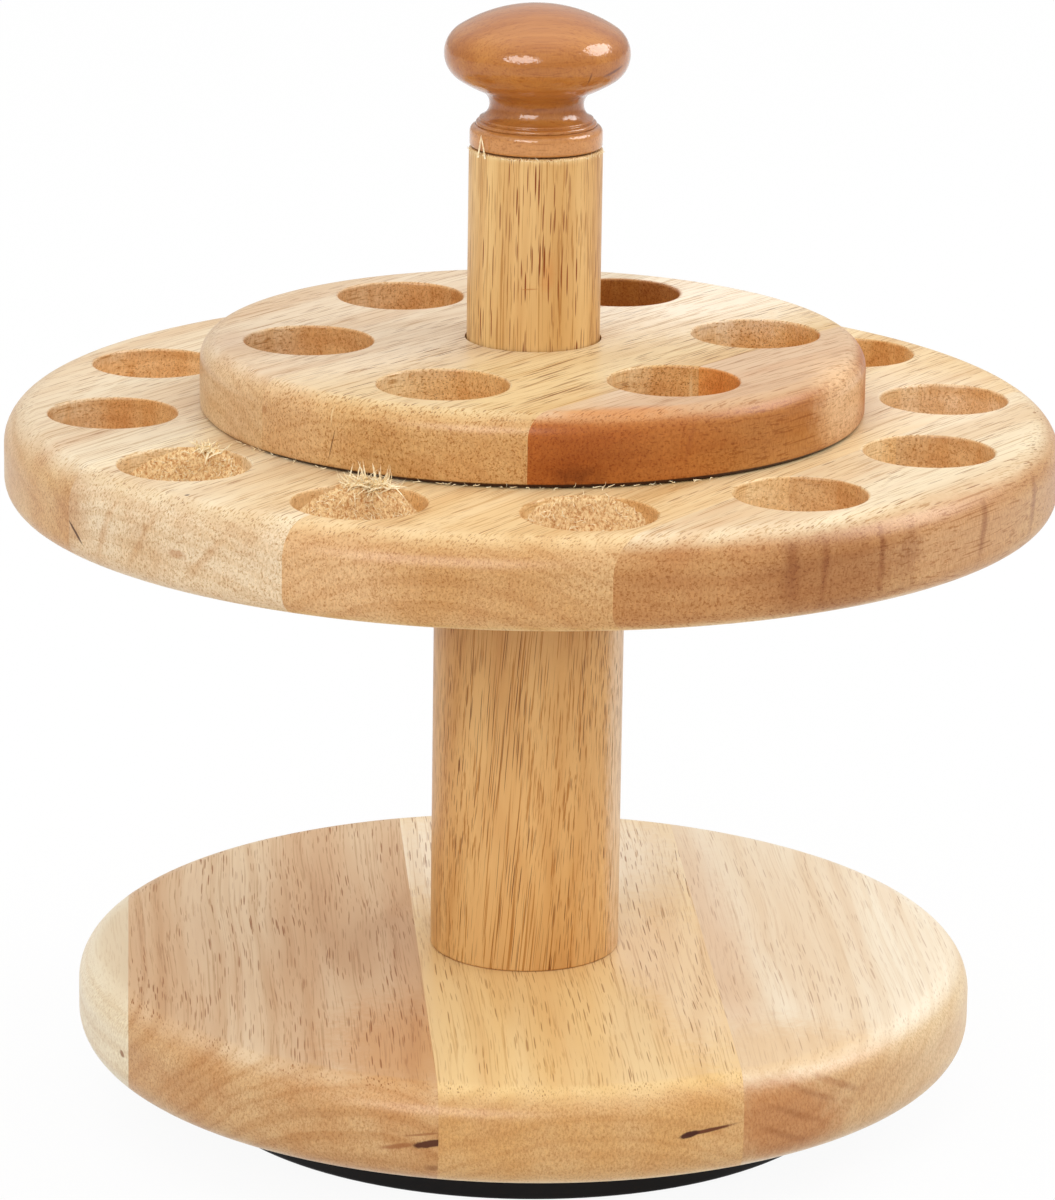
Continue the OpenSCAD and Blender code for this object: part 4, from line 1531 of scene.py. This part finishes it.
def base() -> StavedDisc:
    """The disc on the swivel.

    Returns:
        The disc with the finish of each board.
    """
    disc = {"grain_deg": 94.0, "rim_r": BASE_R, "pore_mm": (22.0, 0.78), "pore_size": 0.22,
            "pore": srgb(148, 84, 24)}
    streak = Mark((-19.2, -97.6, 23.0), (4.6, 2.5, 1.0), (0, -12, -11), srgb(78, 34, 12), 0.97, 0.7, 0.6)
    streak_left = Mark((-25.4, -96.2, 21.9), (6.5, 2.5, 0.8), (0, -12, -14), srgb(146, 86, 44), 0.75, 0.9, 0.3)
    streak_top = Mark((-20.4, -97.3, 25.0), (6.0, 2.5, 0.4), (0, -10, -11), srgb(140, 82, 42), 0.6, 0.7)
    streak_low = Mark((-18.9, -97.7, 17.3), (3.0, 2.5, 1.2), (0, -8, -11), srgb(132, 80, 42), 0.6, 0.9)
    warm = Mark((-26.0, -70.0, 34.0), (24.0, 46.0, 16.0), (0, 0, 0), srgb(208, 157, 102), 0.85, 0.6, 0.2)
    knot = Mark((-86.7, -48.9, 24.0), (1.9, 1.2, 0.8), (0, -30, 60), srgb(140, 88, 46), 0.85, 0.6, 0.5)
    slash = Mark((39.0, -91.6, 24.6), (7.8, 2.5, 0.55), (0, -5, 24), srgb(92, 42, 16), 0.95, 0.6, 0.5)
    slash_core = Mark((35.2, -93.1, 24.2), (2.8, 2.5, 0.85), (0, -10, 20), srgb(66, 26, 8), 0.97, 0.6, 0.6)
    far_cream = Mark((0.0, 62.0, 34.0), (60.0, 66.0, 14.0), (0, 0, 4), srgb(250, 238, 216), 0.92, 0.4, 0.35)
    reddish = Mark((56.0, -82.2, 23.5), (23.0, 6.5, 14.0), (0, 18, 35), srgb(182, 122, 71), 0.8, 0.6, 0.3)
    stripes = tuple(
        Mark((x, y, z), (12.5, 3.0, 1.2), (0, 24, 37), srgb(148, 90, 48), 0.42, 0.5, 0.2)
        for x, y, z in ((61.0, -78.6, 28.6), (57.9, -81.0, 24.7), (55.5, -82.6, 20.5), (67.0, -73.6, 29.0))
    )
    blush_band = Mark((43.0, 3.1, 34.3), (125.0, 9.0, 6.0), (0, 0, 94), srgb(222, 182, 142), 0.36, 0.5, 0.3)
    seam_cream = Mark((36.0, -20.0, 34.3), (78.0, 12.5, 6.0), (0, 0, 94), srgb(243, 221, 184), 0.8, 0.5, 0.3)
    front_warm = Mark((58.0, -72.0, 36.0), (32.0, 34.0, 4.5), (0, 0, 37), srgb(231, 202, 160), 0.85, 0.5, 0.45)
    # painted light: the base beside the post is tinted paler where the post's shadow falls
    painted_light_beside_post = Mark((25.0, -2.0, 34.3), (42.0, 9.0, 6.0), (0, 0, 94), srgb(246, 226, 192), 0.8, 0.4, 0.3)
    return StavedDisc("base", [
        WoodFinish("base_board_1", srgb(238, 226, 200), srgb(230, 214, 182), srgb(220, 196, 162),
                   end_tone=(0.95, 0.92, 0.88), rim_tone=(0.95, 0.93, 0.9), pith=(90.0, 60.0), pore_depth=0.12,
                   line_depth=0.2, seed=11.0, marks=(knot,), **disc),
        WoodFinish("base_board_2", srgb(230, 207, 173), srgb(213, 174, 129), srgb(204, 160, 116),
                   end_tone=(0.9, 0.84, 0.74), rim_tone=(0.88, 0.77, 0.64), pith=(35.0, -10.0), ring_depth=0.5,
                   pore_depth=0.85, line_depth=0.5, seed=12.0, tints=(warm,),
                   marks=(streak_left, streak_top, streak, streak_low), **disc),
        WoodFinish("base_board_3", srgb(242, 217, 166), srgb(235, 200, 138), srgb(230, 188, 130),
                   end_tone=(0.8, 0.68, 0.58), rim_tone=(0.9, 0.84, 0.8), pith=(-10.0, -40.0), ring_depth=0.3,
                   pore_depth=0.68, line_depth=0.45, seed=13.0, tints=(far_cream, seam_cream, painted_light_beside_post),
                   marks=(slash, slash_core), **disc),
        WoodFinish("base_board_4", srgb(247, 238, 217), srgb(239, 220, 190), srgb(226, 191, 154),
                   end_tone=(0.8, 0.66, 0.54), rim_tone=(0.82, 0.7, 0.54), pith=(-45.0, 60.0), ring_depth=0.25,
                   blush_share=0.15, pore_depth=0.38, line_depth=0.24, seed=14.0,
                   tints=(blush_band, front_warm, reddish, *stripes), **disc),
    ])


def torn_holes() -> list[TornHole]:
    """The holes of the lower tier that the drill tore.

    Returns:
        The torn holes, from left to right.
    """
    return [
        TornHole("torn_left", -142.5, 70.0, (95.0, 60.0), 2.4, 46, (70.0, 6.0), (2.0, 4.8), 560, 11),
        TornHole("torn_front_left", -112.5, 82.0, (95.0, 62.0), 2.6, 170, (84.0, 10.0), (1.8, 5.2), 600, 12),
        TornHole("torn_front", -82.5, 92.0, (120.0, 95.0), 1.0, 8, (102.0, 12.0), (0.8, 1.8), 260, 13),
    ]


def frayed_edges() -> list[FrayedEdge]:
    """The edges that kept their saw fibres.

    Returns:
        The edges.
    """
    return [
        FrayedEdge("tier_edge_fibres", "upper_tier_wood", UPPER_TIER_R, UPPER_TIER_FOOT, -150.0, -58.0, 60,
                   (0.7, 2.2), 0.2, 21),
        FrayedEdge("post_edge_fibres", "upper_post_wood", POST_R, POST_TOP, -175.0, -5.0, 90, (0.5, 1.3), 0.9, 22),
    ]


def splinter() -> Fibres:
    """The splinter that stands up beside the knob.

    Returns:
        Two strips that meet at the top.
    """
    feet = ((-12.4, -8.8, 0.16), (-10.9, -10.3, -0.12))
    roots = [(Vector((x, y, 214.5)), Vector((lean, -0.06, 1.0)).normalized()) for x, y, lean in feet]
    return Fibres("post_splinter", "upper_post_wood", roots, (5.2, 5.6), 23, 0.055, (0.02, 0.05, 0.08))


def main() -> None:
    """Dresses the rack and sets up the studio."""
    logging.basicConfig(level=logging.INFO, format="%(name)s %(message)s")
    Studio().build()
    Knob().build()
    Posts().build()
    for disc in (upper_tier(), lower_tier(), base()):
        disc.build()
    Swivel().build()
    torn = TornFinish().material()
    loose = TornFinish("loose_fibres", srgb(255, 244, 212), srgb(243, 216, 164)).material()
    for hole in torn_holes():
        hole.build(torn, loose)
    for piece in (*frayed_edges(), splinter()):
        piece.build(loose)


if __name__ == "__main__":
    main()
